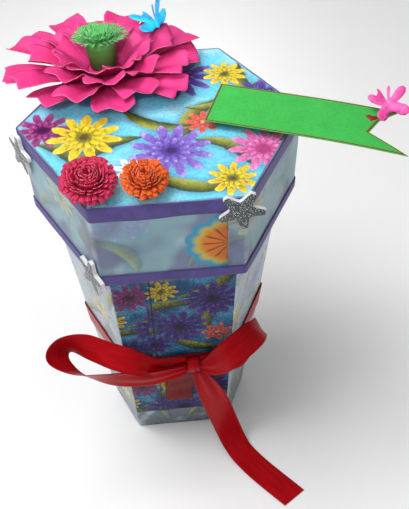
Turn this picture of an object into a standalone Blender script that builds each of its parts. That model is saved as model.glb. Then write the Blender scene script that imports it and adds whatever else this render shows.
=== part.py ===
"""Handmade hexagonal gift box: a tapered card body tied with a satin bow, under a lift-off lid
dressed with paper flowers, foam stars, punched butterflies and a swallowtail tag.

Metres, +Z up. The origin is the middle of the underside, and the front faces -Y.
"""

import math
import random

import bmesh
import bpy
from mathutils import Vector
from mathutils.kdtree import KDTree

# Sheet goods and fits
CARD = 0.0015
PAPER = 0.0004
TAPE = 0.0004
GAP = 0.0003
MITRE_SHARE = 0.6

# Lid, measured over the tape
TOTAL_HEIGHT = 0.278
LID_RADIUS = 0.084
SKIRT_HEIGHT = 0.060
UPPER_TAPE_WIDTH = 0.0100
LOWER_TAPE_WIDTH = 0.0075
SKIRT_SEAM_X = 0.0312

# Body: a rim that the lid slips over, and a narrower foot
RIM_CLEARANCE = 0.0015
FOOT_HALF_FRONT = 0.036
FOOT_HALF_ACROSS = 0.0555
FOOT_HALF_DEEP = 0.0405
WALL_LEVELS = 6

# Two patterned sheets on the front, the right one lapping over the left
SHEET_FOOT = 0.028
SHEET_HEAD_BELOW_RIM = 0.013
SHEET_EDGE_INSET = 0.0006
SHEET_SEAM_X = -0.018
SHEET_LAP = 0.006
SHEET_STEP = 0.002

# Satin ribbon
RIBBON_WIDTH = 0.020
RIBBON_THICKNESS = 0.0005
BAND_SLACK = 0.0006
BAND_BELOW_KNOT = 0.0025
BAND_SIDE_SLOPE = 0.040
BAND_DEPTH_SLOPE = 0.067
KNOT_X = 0.010
KNOT_HEIGHT = 0.112
KNOT_HALF_LENGTH = 0.0057
KNOT_HALF_TALL = 0.0080
KNOT_HALF_DEEP = 0.0056
LOOP_LENGTH = 0.100
GATHER_DEPTH = 0.0009
SHORT_TAIL_END = 0.047

# Foam stars
STAR_RADIUS = 0.0128
STAR_THICKNESS = 0.0025
STAR_TIP_ROUNDING = 0.0006

# Layered paper flower, eight petals to a layer
FLOWER_PLACE_SHARES = (-0.387, 0.589)
FLOWER_LEAN = 3.0
PETALS = 8
PETAL_ROOT = 0.0095
PETAL_LENGTH_LOWER = 0.064
PETAL_LENGTH_UPPER = 0.060
PETAL_LENGTH_MIDDLE = 0.044
PETAL_LENGTH_INNER = 0.030
PETAL_WIDTH = 0.0250
FRONT_SHORTER_SHARE = 0.11
LAYER_RISE = 0.0012
FLOWER_CENTRE_RADIUS = 0.0098
FLOWER_CENTRE_HEIGHT = 0.0150
FLOWER_CENTRE_LEAN = 7.0
FLOWER_FRINGE = 0.0100

# Quilled flowers, wound from fringed paper strips
STRIP_THICKNESS = 0.0005
WINDING_PITCH = 0.0014
WINDING_START = 0.0018
TAB_WIDTH = 0.0026
NOTCH_WIDTH = 0.0005
CRIMSON_PLACE_SHARES = (-0.470, -0.702)
CRIMSON_RADIUS = 0.0096
CRIMSON_FRINGE = 0.0064
ORANGE_PLACE_SHARES = (-0.137, -0.714)
ORANGE_RADIUS = 0.0082
ORANGE_FRINGE = 0.0050
QUILL_CENTRE_HEIGHT = 0.0100
QUILL_EDGE_HEIGHT = 0.0056
QUILL_LEAN = 13.0

# Swallowtail tag on two foam pads
TAG_START_SHARES = (0.369, 0.067)
TAG_TURN = -21.0
TAG_LENGTH = 0.114
TAG_WIDTH = 0.038
TAG_THICKNESS = 0.0005
TAG_SAG = 0.0020
TAG_PAD_HEIGHT = 0.0044
TAG_PAD_RADIUS = 0.0060

# Punched butterflies
BLUE_SPAN = 0.032
PINK_SPAN = 0.025
BLUE_PLACE_SHARES = (0.030, 0.806)
BLUE_HEIGHT = 0.0225

# Worked out from the sizes above
HALF_ROOT3 = math.sqrt(3) / 2
LID_APOTHEM = LID_RADIUS * HALF_ROOT3
SKIRT_PAPER_OUT = TAPE + GAP
SKIRT_CARD_OUT = SKIRT_PAPER_OUT + PAPER + GAP
SKIRT_CARD_IN = SKIRT_CARD_OUT + CARD
COVER_UNDERSIDE = TOTAL_HEIGHT - PAPER
LID_PANEL_TOP = COVER_UNDERSIDE - GAP
LID_PANEL_UNDERSIDE = LID_PANEL_TOP - CARD
SKIRT_TOP = LID_PANEL_UNDERSIDE - GAP
SKIRT_FOOT = TOTAL_HEIGHT - SKIRT_HEIGHT
BODY_HEIGHT = LID_PANEL_UNDERSIDE - GAP
RIM_RADIUS = (LID_APOTHEM - SKIRT_CARD_IN - RIM_CLEARANCE) / HALF_ROOT3
WALL_CARD_OUT = PAPER + GAP
WALL_CARD_IN = WALL_CARD_OUT + CARD
SHEET_OUT = GAP + PAPER
LAP_OUT = SHEET_OUT + GAP + PAPER
BAND_FRONT_IN = LAP_OUT + GAP
BAND_HEIGHT = KNOT_HEIGHT - BAND_BELOW_KNOT

SIDE_NAMES = ("front_left", "front", "front_right", "back_right", "back", "back_left")
FRONT = 1
BACK = 4


def clear_scene():
    for item in list(bpy.data.objects):
        bpy.data.objects.remove(item, do_unlink=True)


def material(name, colour, roughness, metallic=0.0):
    made = bpy.data.materials.new(name)
    made.use_nodes = True
    shader = made.node_tree.nodes["Principled BSDF"]
    shader.inputs["Base Color"].default_value = (*colour, 1.0)
    shader.inputs["Roughness"].default_value = roughness
    shader.inputs["Metallic"].default_value = metallic
    made.diffuse_color = (*colour, 1.0)
    return made


def add_object(name, mesh, finish, location=(0.0, 0.0, 0.0), parent=None):
    item = bpy.data.objects.new(name, mesh)
    bpy.context.scene.collection.objects.link(item)
    item.data.materials.append(finish)
    item.location = location
    item.parent = parent
    return item


def mesh_from_bmesh(name, shape, smooth_angle=None):
    bmesh.ops.recalc_face_normals(shape, faces=shape.faces)
    mesh = bpy.data.meshes.new(name)
    shape.to_mesh(mesh)
    shape.free()
    if smooth_angle is not None:
        mesh.shade_smooth()
        mesh.set_sharp_from_angle(angle=math.radians(smooth_angle))
    return mesh


def cell_mesh(name, inner, outer, present=None, closed=False, smooth_angle=None):
    """Closed body between two matching grids of points, with a wall round every missing cell.

    Rows run up the piece and columns along it. All cells are split along the same diagonal, so
    two pieces laid over each other keep the gap between them.
    """
    shape = bmesh.new()
    rows = len(inner)
    columns = len(inner[0])
    spans = columns if closed else columns - 1
    low = [[shape.verts.new(point) for point in row] for row in inner]
    high = [[shape.verts.new(point) for point in row] for row in outer]

    def there(row, span):
        if closed:
            span %= spans
        if row < 0 or row >= rows - 1 or span < 0 or span >= spans:
            return False
        return present is None or present(row, span)

    def quad(a, b, c, d):
        shape.faces.new((a, b, c))
        shape.faces.new((a, c, d))

    for row in range(rows - 1):
        for span in range(spans):
            if not there(row, span):
                continue
            left = span
            right = (span + 1) % columns
            quad(high[row][left], high[row][right], high[row + 1][right], high[row + 1][left])
            quad(low[row][left], low[row][right], low[row + 1][right], low[row + 1][left])
            if not there(row - 1, span):
                quad(low[row][left], low[row][right], high[row][right], high[row][left])
            if not there(row + 1, span):
                quad(low[row + 1][left], low[row + 1][right], high[row + 1][right], high[row + 1][left])
            if not there(row, span - 1):
                quad(low[row][left], high[row][left], high[row + 1][left], low[row + 1][left])
            if not there(row, span + 1):
                quad(low[row][right], high[row][right], high[row + 1][right], low[row + 1][right])
    loose = [vertex for vertex in shape.verts if not vertex.link_faces]
    bmesh.ops.delete(shape, geom=loose, context="VERTS")
    return mesh_from_bmesh(name, shape, smooth_angle)


def prism_mesh(name, outline, foot, head, smooth_angle=None):
    """Upright prism on a flat outline."""
    shape = bmesh.new()
    face = shape.faces.new([shape.verts.new((point.x, point.y, foot)) for point in outline])
    grown = bmesh.ops.extrude_face_region(shape, geom=[face])
    raised = [part for part in grown["geom"] if isinstance(part, bmesh.types.BMVert)]
    bmesh.ops.translate(shape, verts=raised, vec=(0.0, 0.0, head - foot))
    return mesh_from_bmesh(name, shape, smooth_angle)


def hexagon(half_front, half_across, half_deep):
    """Corners left, front left, front right, right, back right, back left."""
    return [
        Vector((-half_across, 0.0)),
        Vector((-half_front, -half_deep)),
        Vector((half_front, -half_deep)),
        Vector((half_across, 0.0)),
        Vector((half_front, half_deep)),
        Vector((-half_front, half_deep)),
    ]


def regular_hexagon(radius):
    return hexagon(radius / 2, radius, radius * HALF_ROOT3)


def inset(corners, distances):
    """Move each side of a hexagon in by its distance (out, where that is negative)."""
    count = len(corners)
    lines = []
    for side in range(count):
        start = corners[side]
        along = (corners[(side + 1) % count] - start).normalized()
        inward = Vector((-along.y, along.x))
        lines.append((start + inward * distances[side], along))
    moved = []
    for corner in range(count):
        start, along = lines[corner - 1]
        other, across = lines[corner]
        turn = along.x * across.y - along.y * across.x
        apart = other - start
        reach = (apart.x * across.y - apart.y * across.x) / turn
        moved.append(start + along * reach)
    return moved


def body_hexagon(height):
    share = height / BODY_HEIGHT
    foot = hexagon(FOOT_HALF_FRONT, FOOT_HALF_ACROSS, FOOT_HALF_DEEP)
    rim = regular_hexagon(RIM_RADIUS)
    return [low.lerp(high, share) for low, high in zip(foot, rim)]


def body_corners(height, depth):
    return inset(body_hexagon(height), [depth] * 6)


def lid_corners(depth):
    return inset(regular_hexagon(LID_RADIUS), [depth] * 6)


def raise_to(points, height):
    return [Vector((point.x, point.y, height)) for point in points]


def levels(foot, head, count):
    return [foot + (head - foot) * step / count for step in range(count + 1)]


def side_rows(corner_rows, side, heights):
    """The two ends of one side of each hexagon, drawn in a little for the mitre gap."""
    rows = []
    for corners, height in zip(corner_rows, heights):
        start = corners[side]
        end = corners[(side + 1) % 6]
        along = (end - start).normalized() * GAP * MITRE_SHARE
        rows.append(raise_to([start + along, end - along], height))
    return rows


def wrap_rows(corner_rows, heights, side, place_share):
    """A hexagon walked round from a butt seam that stands on one side, and back to it."""
    rows = []
    for corners, height in zip(corner_rows, heights):
        start = corners[side]
        end = corners[(side + 1) % 6]
        seam = start.lerp(end, place_share)
        slit = (end - start).normalized() * GAP / 2
        walk = [corners[(side + 1 + step) % 6] for step in range(6)]
        rows.append(raise_to([seam + slit] + walk + [seam - slit], height))
    return rows


def smooth_path(values, steps):
    """Catmull-Rom curve through rows of numbers, as a list of rows."""
    made = []
    last = len(values) - 1
    for span in range(last):
        before = values[max(span - 1, 0)]
        start = values[span]
        end = values[span + 1]
        after = values[min(span + 2, last)]
        for step in range(steps):
            t = step / steps
            made.append([
                0.5 * (2 * b + (c - a) * t + (2 * a - 5 * b + 4 * c - d) * t ** 2
                       + (3 * b - a - 3 * c + d) * t ** 3)
                for a, b, c, d in zip(before, start, end, after)
            ])
    made.append(list(values[last]))
    return made


def thicken(rows, thickness):
    """Two grids, half a thickness to either side of a middle grid."""
    low = []
    high = []
    last_row = len(rows) - 1
    last_column = len(rows[0]) - 1
    for r, row in enumerate(rows):
        low.append([])
        high.append([])
        for c, point in enumerate(row):
            along = rows[min(r + 1, last_row)][c] - rows[max(r - 1, 0)][c]
            across = row[min(c + 1, last_column)] - row[max(c - 1, 0)]
            push = along.cross(across).normalized() * thickness / 2
            low[-1].append(point - push)
            high[-1].append(point + push)
    return low, high


def ribbon_mesh(name, stations, steps, across_cells=6):
    """Ribbon through stations of (centre, direction across, share of full width, gather share)."""
    values = [[*centre, *across, width, gather] for centre, across, width, gather in stations]
    rows = []
    path = smooth_path(values, steps)
    centres = [Vector(value[0:3]) for value in path]
    last = len(path) - 1
    for place, value in enumerate(path):
        across = Vector(value[3:6]).normalized()
        run = centres[min(place + 1, last)] - centres[max(place - 1, 0)]
        face = run.cross(across).normalized()
        half = RIBBON_WIDTH * value[6] / 2
        row = []
        for cell in range(across_cells + 1):
            t = 2 * cell / across_cells - 1
            fold = GATHER_DEPTH * value[7] * math.cos(1.5 * math.pi * t)
            row.append(centres[place] + across * half * t + face * fold)
        rows.append(row)
    low, high = thicken(rows, RIBBON_THICKNESS)
    return cell_mesh(name, low, high, smooth_angle=50)


def make_base(finish):
    foot = body_corners(0.0, WALL_CARD_IN + GAP)
    head = body_corners(CARD, WALL_CARD_IN + GAP)
    shape = bmesh.new()
    low = [shape.verts.new(point) for point in raise_to(foot, 0.0)]
    high = [shape.verts.new(point) for point in raise_to(head, CARD)]
    shape.faces.new(low)
    shape.faces.new(high)
    for corner in range(6):
        following = (corner + 1) % 6
        shape.faces.new((low[corner], low[following], high[following], high[corner]))
    add_object("base_panel", mesh_from_bmesh("base_panel", shape), finish)


def make_walls(finish):
    heights = levels(0.0, BODY_HEIGHT, WALL_LEVELS)
    outside = [body_corners(height, WALL_CARD_OUT) for height in heights]
    inside = [body_corners(height, WALL_CARD_IN) for height in heights]
    for side, side_name in enumerate(SIDE_NAMES):
        name = "wall_" + side_name
        mesh = cell_mesh(name, side_rows(inside, side, heights), side_rows(outside, side, heights))
        add_object(name, mesh, finish)


def make_wall_paper(finish):
    heights = levels(0.0, BODY_HEIGHT, WALL_LEVELS)
    outside = [body_corners(height, 0.0) for height in heights]
    inside = [body_corners(height, PAPER) for height in heights]
    drawn = list(heights)
    drawn[0] += GAP
    mesh = cell_mesh(
        "wall_paper",
        wrap_rows(inside, drawn, BACK, 0.5),
        wrap_rows(outside, drawn, BACK, 0.5),
    )
    add_object("wall_paper", mesh, finish)


def front_point(x, height, stand_off):
    """A point over the front face; stand_off is measured level, towards the viewer."""
    return Vector((x, body_hexagon(height)[FRONT].y - stand_off, height))


def make_front_sheets(finish):
    heights = levels(SHEET_FOOT, BODY_HEIGHT - SHEET_HEAD_BELOW_RIM, WALL_LEVELS)

    def sheet(name, profile):
        inner = []
        outer = []
        for height in heights:
            edge = body_hexagon(height)[FRONT + 1].x - SHEET_EDGE_INSET
            places = [(edge * end_share + x, stand) for end_share, x, stand in profile]
            inner.append([front_point(x, height, stand) for x, stand in places])
            outer.append([front_point(x, height, stand + PAPER) for x, stand in places])
        add_object(name, cell_mesh(name, inner, outer), finish)

    lap_end = SHEET_SEAM_X + SHEET_LAP
    sheet("front_sheet_left", [(-1, 0.0, GAP), (0, lap_end, GAP)])
    sheet("front_sheet_right", [
        (0, SHEET_SEAM_X, LAP_OUT - PAPER),
        (0, lap_end + GAP, LAP_OUT - PAPER),
        (0, lap_end + SHEET_STEP, GAP),
        (1, 0.0, GAP),
    ])


def band_centre_height(place):
    return BAND_HEIGHT + BAND_SIDE_SLOPE * place.x + BAND_DEPTH_SLOPE * place.y


def make_band(finish):
    """One turn of ribbon round the body, a little higher at the back and on the right."""
    stands = [BAND_SLACK] * 6
    stands[FRONT] = BAND_FRONT_IN
    rows = []
    for half_share in (-0.5, 0.5):
        for extra in (0.0, RIBBON_THICKNESS):
            row = []
            for corner in range(6):
                middle = body_hexagon(BAND_HEIGHT)[corner]
                height = band_centre_height(middle) + RIBBON_WIDTH * half_share
                moved = inset(body_hexagon(height), [-stand - extra for stand in stands])
                row.append(Vector((moved[corner].x, moved[corner].y, height)))
            rows.append(row)
    inner = [rows[0], rows[2]]
    outer = [rows[1], rows[3]]
    add_object("ribbon_band", cell_mesh("ribbon_band", inner, outer, closed=True), finish)


def knot_centre():
    face = front_point(KNOT_X, KNOT_HEIGHT, BAND_FRONT_IN + RIBBON_THICKNESS + GAP)
    return face - Vector((0.0, KNOT_HALF_DEEP, 0.0))


def make_knot(finish):
    """Short barrel lying left to right, with the folds of the wrap running round it."""
    profile_shares = ((-1.0, 0.78), (-0.7, 0.93), (-0.45, 0.88), (-0.1, 1.0), (0.3, 0.92), (0.7, 0.96), (1.0, 0.8))
    sides = 20
    centre = knot_centre()
    shape = bmesh.new()
    rings = []
    for along_share, size_share in profile_shares:
        ring = []
        for step in range(sides):
            angle = math.tau * step / sides
            ring.append(shape.verts.new((
                centre.x + KNOT_HALF_LENGTH * along_share,
                centre.y + KNOT_HALF_DEEP * size_share * math.cos(angle),
                centre.z + KNOT_HALF_TALL * size_share * math.sin(angle),
            )))
        rings.append(ring)
    for first, second in zip(rings, rings[1:]):
        for step in range(sides):
            following = (step + 1) % sides
            shape.faces.new((first[step], first[following], second[following], second[step]))
    shape.faces.new(rings[0])
    shape.faces.new(rings[-1])
    add_object("bow_knot", mesh_from_bmesh("bow_knot", shape, 60), finish)


def placed_stations(table_shares):
    """Stations written as shares of the loop's reach, from the knot's centre."""
    middle = knot_centre()
    return [
        (middle + Vector(place_shares) * LOOP_LENGTH, across, width_share, gather_share)
        for place_shares, across, width_share, gather_share in table_shares
    ]


def make_bow_loops(finish):
    """Both loops lean open towards the top. Each runs out along the body and back in front."""
    left_shares = [
        ((-0.063, 0.022, 0.000), (0.00, 0.04, 1.00), 0.50, 1.0),
        ((-0.230, -0.010, 0.000), (-0.08, 0.22, 0.97), 0.78, 0.7),
        ((-0.400, -0.045, 0.150), (-0.17, 0.62, 0.76), 1.00, 0.2),
        ((-0.560, 0.000, 0.190), (-0.10, 0.70, 0.70), 1.00, 0.0),
        ((-0.700, 0.070, 0.200), (-0.10, 0.52, 0.84), 1.00, 0.0),
        ((-0.850, 0.100, 0.210), (-0.34, -0.05, 0.94), 1.00, 0.0),
        ((-0.915, 0.065, 0.180), (-0.62, -0.35, 0.70), 1.00, 0.0),
        ((-0.900, 0.010, 0.130), (-0.60, -0.48, 0.64), 1.00, 0.0),
        ((-0.790, -0.040, 0.060), (-0.20, -0.55, 0.81), 1.00, 0.0),
        ((-0.620, -0.070, 0.020), (0.00, -0.26, 0.96), 1.00, 0.0),
        ((-0.470, -0.070, -0.010), (-0.04, -0.08, 1.00), 1.00, 0.2),
        ((-0.290, -0.055, -0.045), (-0.08, -0.08, 0.99), 0.84, 0.7),
        ((-0.063, -0.022, -0.020), (0.00, 0.00, 1.00), 0.50, 1.0),
    ]
    right_shares = [
        ((0.066, -0.022, 0.000), (0.00, 0.05, 1.00), 0.50, 1.0),
        ((0.150, -0.045, 0.050), (-0.38, 0.40, 0.83), 0.85, 0.6),
        ((0.260, -0.060, 0.190), (-0.45, 0.60, 0.66), 1.00, 0.1),
        ((0.410, 0.050, 0.210), (-0.62, 0.45, 0.64), 1.00, 0.0),
        ((0.470, 0.130, 0.180), (-0.60, 0.10, 0.79), 1.00, 0.0),
        ((0.490, 0.190, 0.110), (-0.35, 0.15, 0.92), 1.00, 0.0),
        ((0.430, 0.150, 0.040), (-0.20, 0.25, 0.95), 1.00, 0.0),
        ((0.330, 0.045, 0.000), (-0.15, 0.28, 0.95), 1.00, 0.1),
        ((0.200, 0.010, -0.020), (-0.05, 0.18, 0.98), 0.80, 0.6),
        ((0.066, 0.022, 0.000), (0.00, 0.04, 1.00), 0.50, 1.0),
    ]
    for name, table_shares in (("bow_loop_left", left_shares), ("bow_loop_right", right_shares)):
        add_object(name, ribbon_mesh(name, placed_stations(table_shares), 4), finish)


def make_tails(finish):
    """The long tail drops from the knot and runs out over the table; the short one hugs the front."""
    middle = knot_centre()
    under = middle.z - KNOT_HALF_TALL - GAP
    ground = 2 * GAP + RIBBON_THICKNESS / 2
    # right of the knot and towards the viewer as shares of the loops' reach, and height as a
    # share of the way from the table up to the knot's underside
    long_shares = [
        (0.035, 0.005, 1.00, (1.00, 0.00, 0.00), 0.42, 1.0),
        (0.085, 0.020, 0.85, (0.97, 0.02, 0.20), 0.80, 0.6),
        (0.150, 0.030, 0.63, (0.97, 0.05, 0.22), 1.00, 0.1),
        (0.205, 0.022, 0.40, (0.96, 0.12, 0.22), 1.00, 0.0),
        (0.255, 0.020, 0.19, (0.93, 0.28, 0.20), 1.00, 0.0),
        (0.300, 0.055, 0.06, (0.86, 0.45, 0.08), 1.00, 0.0),
        (0.355, 0.140, 0.01, (0.80, 0.60, 0.00), 1.00, 0.0),
        (0.455, 0.270, 0.00, (0.76, 0.65, 0.00), 1.00, 0.0),
        (0.570, 0.400, 0.00, (0.74, 0.67, 0.00), 1.00, 0.0),
        (0.705, 0.545, 0.00, (0.84, 0.54, 0.00), 1.00, 0.0),
    ]
    stations = []
    for right, forward, up, across, width, gather in long_shares:
        place = Vector((
            middle.x + right * LOOP_LENGTH,
            middle.y - forward * LOOP_LENGTH,
            ground + up * (under - ground),
        ))
        stations.append((place, across, width, gather))
    add_object("ribbon_tail_long", ribbon_mesh("ribbon_tail_long", stations, 4), finish)

    rest = LAP_OUT + GAP + RIBBON_THICKNESS * 0.6
    short_shares = [
        (-0.010, 1.00, 0.50, 1.0),
        (-0.050, 0.84, 0.80, 0.5),
        (-0.090, 0.60, 1.00, 0.1),
        (-0.110, 0.30, 1.00, 0.0),
        (-0.110, 0.00, 1.00, 0.0),
    ]
    stations = []
    for right, up, width, gather in short_shares:
        height = SHORT_TAIL_END + up * (under - SHORT_TAIL_END)
        stand = rest + (KNOT_HALF_DEEP - GAP) * up ** 3
        place = front_point(middle.x + right * LOOP_LENGTH, height, stand)
        stations.append((place, (1.0, 0.0, 0.0), width, gather))
    add_object("ribbon_tail_short", ribbon_mesh("ribbon_tail_short", stations, 4), finish)


def make_lid_box(card, cover, skirt_finish, tape, lid):
    panel = prism_mesh("lid_panel", lid_corners(SKIRT_CARD_OUT), LID_PANEL_UNDERSIDE, LID_PANEL_TOP)
    add_object("lid_panel", panel, card, parent=lid)
    sheet = prism_mesh("lid_cover_sheet", lid_corners(SKIRT_CARD_OUT), COVER_UNDERSIDE, TOTAL_HEIGHT)
    add_object("lid_cover_sheet", sheet, cover, parent=lid)

    heights = (SKIRT_FOOT, SKIRT_TOP)
    outside = [lid_corners(SKIRT_CARD_OUT)] * 2
    inside = [lid_corners(SKIRT_CARD_IN)] * 2
    for side, side_name in enumerate(SIDE_NAMES):
        name = "skirt_" + side_name
        mesh = cell_mesh(name, side_rows(inside, side, heights), side_rows(outside, side, heights))
        add_object(name, mesh, card, parent=lid)

    seam_share = (SKIRT_SEAM_X + LID_RADIUS / 2) / LID_RADIUS
    paper_heights = (SKIRT_FOOT, TOTAL_HEIGHT)
    outside = [lid_corners(SKIRT_PAPER_OUT)] * 2
    inside = [lid_corners(SKIRT_PAPER_OUT + PAPER)] * 2
    paper = cell_mesh(
        "skirt_paper",
        wrap_rows(inside, paper_heights, FRONT, seam_share),
        wrap_rows(outside, paper_heights, FRONT, seam_share),
    )
    add_object("skirt_paper", paper, skirt_finish, parent=lid)

    tapes = (
        ("trim_tape_upper", TOTAL_HEIGHT - UPPER_TAPE_WIDTH, TOTAL_HEIGHT),
        ("trim_tape_lower", SKIRT_FOOT, SKIRT_FOOT + LOWER_TAPE_WIDTH),
    )
    for name, foot, head in tapes:
        inner = [raise_to(lid_corners(TAPE), height) for height in (foot, head)]
        outer = [raise_to(lid_corners(0.0), height) for height in (foot, head)]
        add_object(name, cell_mesh(name, inner, outer, closed=True), tape, parent=lid)


def rounded(points, radius, steps=3):
    """Cut each corner of a flat outline back to a short arc."""
    made = []
    count = len(points)
    for place, corner in enumerate(points):
        before = (points[place - 1] - corner).normalized() * radius
        after = (points[(place + 1) % count] - corner).normalized() * radius
        for step in range(steps):
            t = step / (steps - 1)
            made.append(corner + before * (1 - t) ** 2 + after * t ** 2)
    return made


def make_stars(finish, lid):
    """Foam stars glued to the skirt, two of them out past a corner."""
    # name, side, place along that side from its left end and up the skirt, both as shares, turn
    stars = (
        ("star_front_right", FRONT, 0.95, 0.88, 27.0),
        ("star_front_left", 0, 0.945, 0.10, 8.0),
        ("star_side_left", 0, 0.05, 0.75, 4.0),
    )
    # degrees from the middle of an arm, and the reach there as a share of the star's radius
    arm_shares = ((-24, 0.59), (-7, 0.98), (7, 0.98), (24, 0.59), (36, 0.51))
    points = []
    for arm in range(5):
        for off, reach_share in arm_shares:
            angle = math.radians(90 + 72 * arm + off)
            points.append(Vector((math.cos(angle), math.sin(angle))) * STAR_RADIUS * reach_share)
    outline = rounded(points, STAR_TIP_ROUNDING)
    corners = regular_hexagon(LID_RADIUS)
    for name, side, along_share, up_share, turn in stars:
        start = corners[side]
        end = corners[(side + 1) % 6]
        along = (end - start).normalized()
        outward = Vector((along.y, -along.x))
        place = start.lerp(end, along_share) + outward * GAP
        height = SKIRT_FOOT + SKIRT_HEIGHT * up_share
        mesh = prism_mesh(name, outline, 0.0, STAR_THICKNESS, 40)
        item = add_object(name, mesh, finish, (place.x, place.y, height), lid)
        item.rotation_mode = "XYZ"
        item.rotation_euler = (math.radians(90), math.radians(turn), math.atan2(along.y, along.x))


def petal_half_width(along_share, root):
    """Half width of a petal: it widens nearly to its end, which is cut almost straight across."""
    swell_share = min(along_share / 0.84, 1.0) ** 0.8
    end_share = max(along_share - 0.84, 0.0) / 0.16
    return (root + (PETAL_WIDTH / 2 - root) * swell_share) * (1 - 0.10 * end_share ** 2)


def make_petal_layer(name, length, base_height, slope, fold_share, turn, seed, finish, flower):
    """A disc cut into petals, each with a valley crease down its middle, bent up from the disc."""
    chance = random.Random(seed)
    along_shares = (0.0, 0.15, 0.35, 0.6, 0.84, 1.0)
    across_shares = (-1.0, -0.5, 0.0, 0.5, 1.0)
    pitch = math.tau / PETALS
    shape = bmesh.new()
    hub = shape.verts.new((0.0, 0.0, base_height))
    root_ring = []
    for petal in range(PETALS):
        for across_share in across_shares[:-1]:
            angle = turn + pitch * (petal + across_share / 2)
            place = Vector((math.cos(angle), math.sin(angle))) * PETAL_ROOT
            root_ring.append(shape.verts.new((place.x, place.y, base_height)))
    count = len(root_ring)
    for step in range(count):
        shape.faces.new((hub, root_ring[step], root_ring[(step + 1) % count]))
    for petal in range(PETALS):
        middle = turn + pitch * petal
        shorter = FRONT_SHORTER_SHARE * max(-math.sin(middle), 0.0)
        reach = length * (1 - shorter) * chance.uniform(0.93, 1.03)
        lift = slope * chance.uniform(0.95, 1.08)
        swerve = chance.uniform(-0.07, 0.07)
        lop = chance.uniform(-0.06, 0.06)
        crease_share = fold_share * chance.uniform(0.72, 1.2)
        rows = [[root_ring[(petal * 4 + column) % count] for column in range(5)]]
        for along_share in along_shares[1:]:
            angle = middle + swerve * along_share
            out = Vector((math.cos(angle), math.sin(angle)))
            side = Vector((-out.y, out.x))
            half = petal_half_width(along_share, PETAL_ROOT * math.sin(pitch / 2))
            row = []
            for across_share in across_shares:
                notch_share = 0.03 * (1 - abs(across_share))
                rounding = 1 - (lop * across_share + notch_share) * along_share ** 4
                run = PETAL_ROOT + (reach - PETAL_ROOT) * along_share * rounding
                place = out * run + side * half * across_share
                rise = base_height + (run - PETAL_ROOT) * lift
                valley = crease_share * half * min(along_share * 1.5, 1.0) * abs(across_share)
                row.append(shape.verts.new((place.x, place.y, rise + valley)))
            rows.append(row)
        for low, high in zip(rows, rows[1:]):
            for column in range(4):
                shape.faces.new((low[column], low[column + 1], high[column + 1], high[column]))
    bmesh.ops.triangulate(shape, faces=shape.faces)
    bmesh.ops.recalc_face_normals(shape, faces=shape.faces)
    mesh = bpy.data.meshes.new(name)
    shape.to_mesh(mesh)
    shape.free()
    item = add_object(name, mesh, finish, parent=flower)
    sheet = item.modifiers.new("sheet", "SOLIDIFY")
    sheet.thickness = PAPER
    sheet.offset = 0.0
    return item


def layer_height(layer):
    clear_of_lid = PETAL_ROOT * math.sin(math.radians(FLOWER_LEAN))
    return clear_of_lid + GAP + PAPER / 2 + LAYER_RISE * layer


def on_lid(place_shares, height):
    """A place on the lid's top, given as shares of the lid's corner radius, raised by height."""
    across, back = place_shares
    return Vector((across * LID_RADIUS, back * LID_RADIUS, TOTAL_HEIGHT + height))


def make_flower(finish, centre_finish, lid):
    flower = bpy.data.objects.new("flower", None)
    bpy.context.scene.collection.objects.link(flower)
    flower.location = on_lid(FLOWER_PLACE_SHARES, 0.0)
    flower.rotation_euler = (math.radians(-FLOWER_LEAN), 0.0, 0.0)
    flower.parent = lid
    # name, length, slope, fold share, turn as a share of the pitch, seed
    layers = (
        ("flower_petals_lower", PETAL_LENGTH_LOWER, 0.125, 0.38, 0.10, 21),
        ("flower_petals_upper", PETAL_LENGTH_UPPER, 0.215, 0.44, 0.60, 22),
        ("flower_petals_middle", PETAL_LENGTH_MIDDLE, 0.40, 0.50, 0.12, 23),
        ("flower_petals_inner", PETAL_LENGTH_INNER, 0.66, 0.50, 0.62, 24),
    )
    for layer, (name, length, slope, fold_share, turn_share, seed) in enumerate(layers):
        turn = turn_share * math.tau / PETALS
        make_petal_layer(name, length, layer_height(layer), slope, fold_share, turn, seed, finish, flower)

    clear_of_petals = FLOWER_CENTRE_RADIUS * math.sin(math.radians(FLOWER_CENTRE_LEAN))
    seat = layer_height(len(layers) - 1) + PAPER / 2 + GAP + clear_of_petals
    centre = fringed_coil(
        "flower_centre", FLOWER_CENTRE_RADIUS,
        (FLOWER_CENTRE_HEIGHT * 1.06, FLOWER_CENTRE_HEIGHT),
        (FLOWER_FRINGE * 0.5, FLOWER_FRINGE), (6.0, 82.0), 0.84, centre_finish,
    )
    centre.location = (0.0, 0.0, seat)
    centre.rotation_euler = (math.radians(-FLOWER_CENTRE_LEAN), math.radians(-3.0), 0.0)
    centre.parent = flower


def winding_stations(start, end, step_lengths):
    """Angles and radii along a flat spiral, alternating through the given steps of arc."""
    stations = []
    angle = 0.0
    radius = start
    place = 0
    while radius < end:
        stations.append((angle, radius))
        angle += step_lengths[place % len(step_lengths)] / radius
        radius = start + WINDING_PITCH * angle / math.tau
        place += 1
    if len(stations) % 2 == 1:
        stations.pop()
    return stations


def print_least_gap(name, angles, grids):
    """Measure on points how near the wound strip comes to its own next turns, and print it."""
    marks = []
    for grid in grids:
        for low, high in zip(grid, grid[1:]):
            for span in range(len(angles) - 1):
                for along in range(4):
                    start = low[span].lerp(low[span + 1], along / 4)
                    end = high[span].lerp(high[span + 1], along / 4)
                    marks += [(start.lerp(end, up / 3), angles[span]) for up in range(4)]
    tree = KDTree(len(marks))
    for index, (point, angle) in enumerate(marks):
        tree.insert(point, index)
    tree.balance()
    least = 2 * WINDING_PITCH
    for point, angle in marks:
        for other, index, distance in tree.find_range(point, least):
            if abs(marks[index][1] - angle) > math.pi:
                least = min(least, distance)
    print(f"{name}: least gap between turns {least * 1000:.2f} mm")


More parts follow.
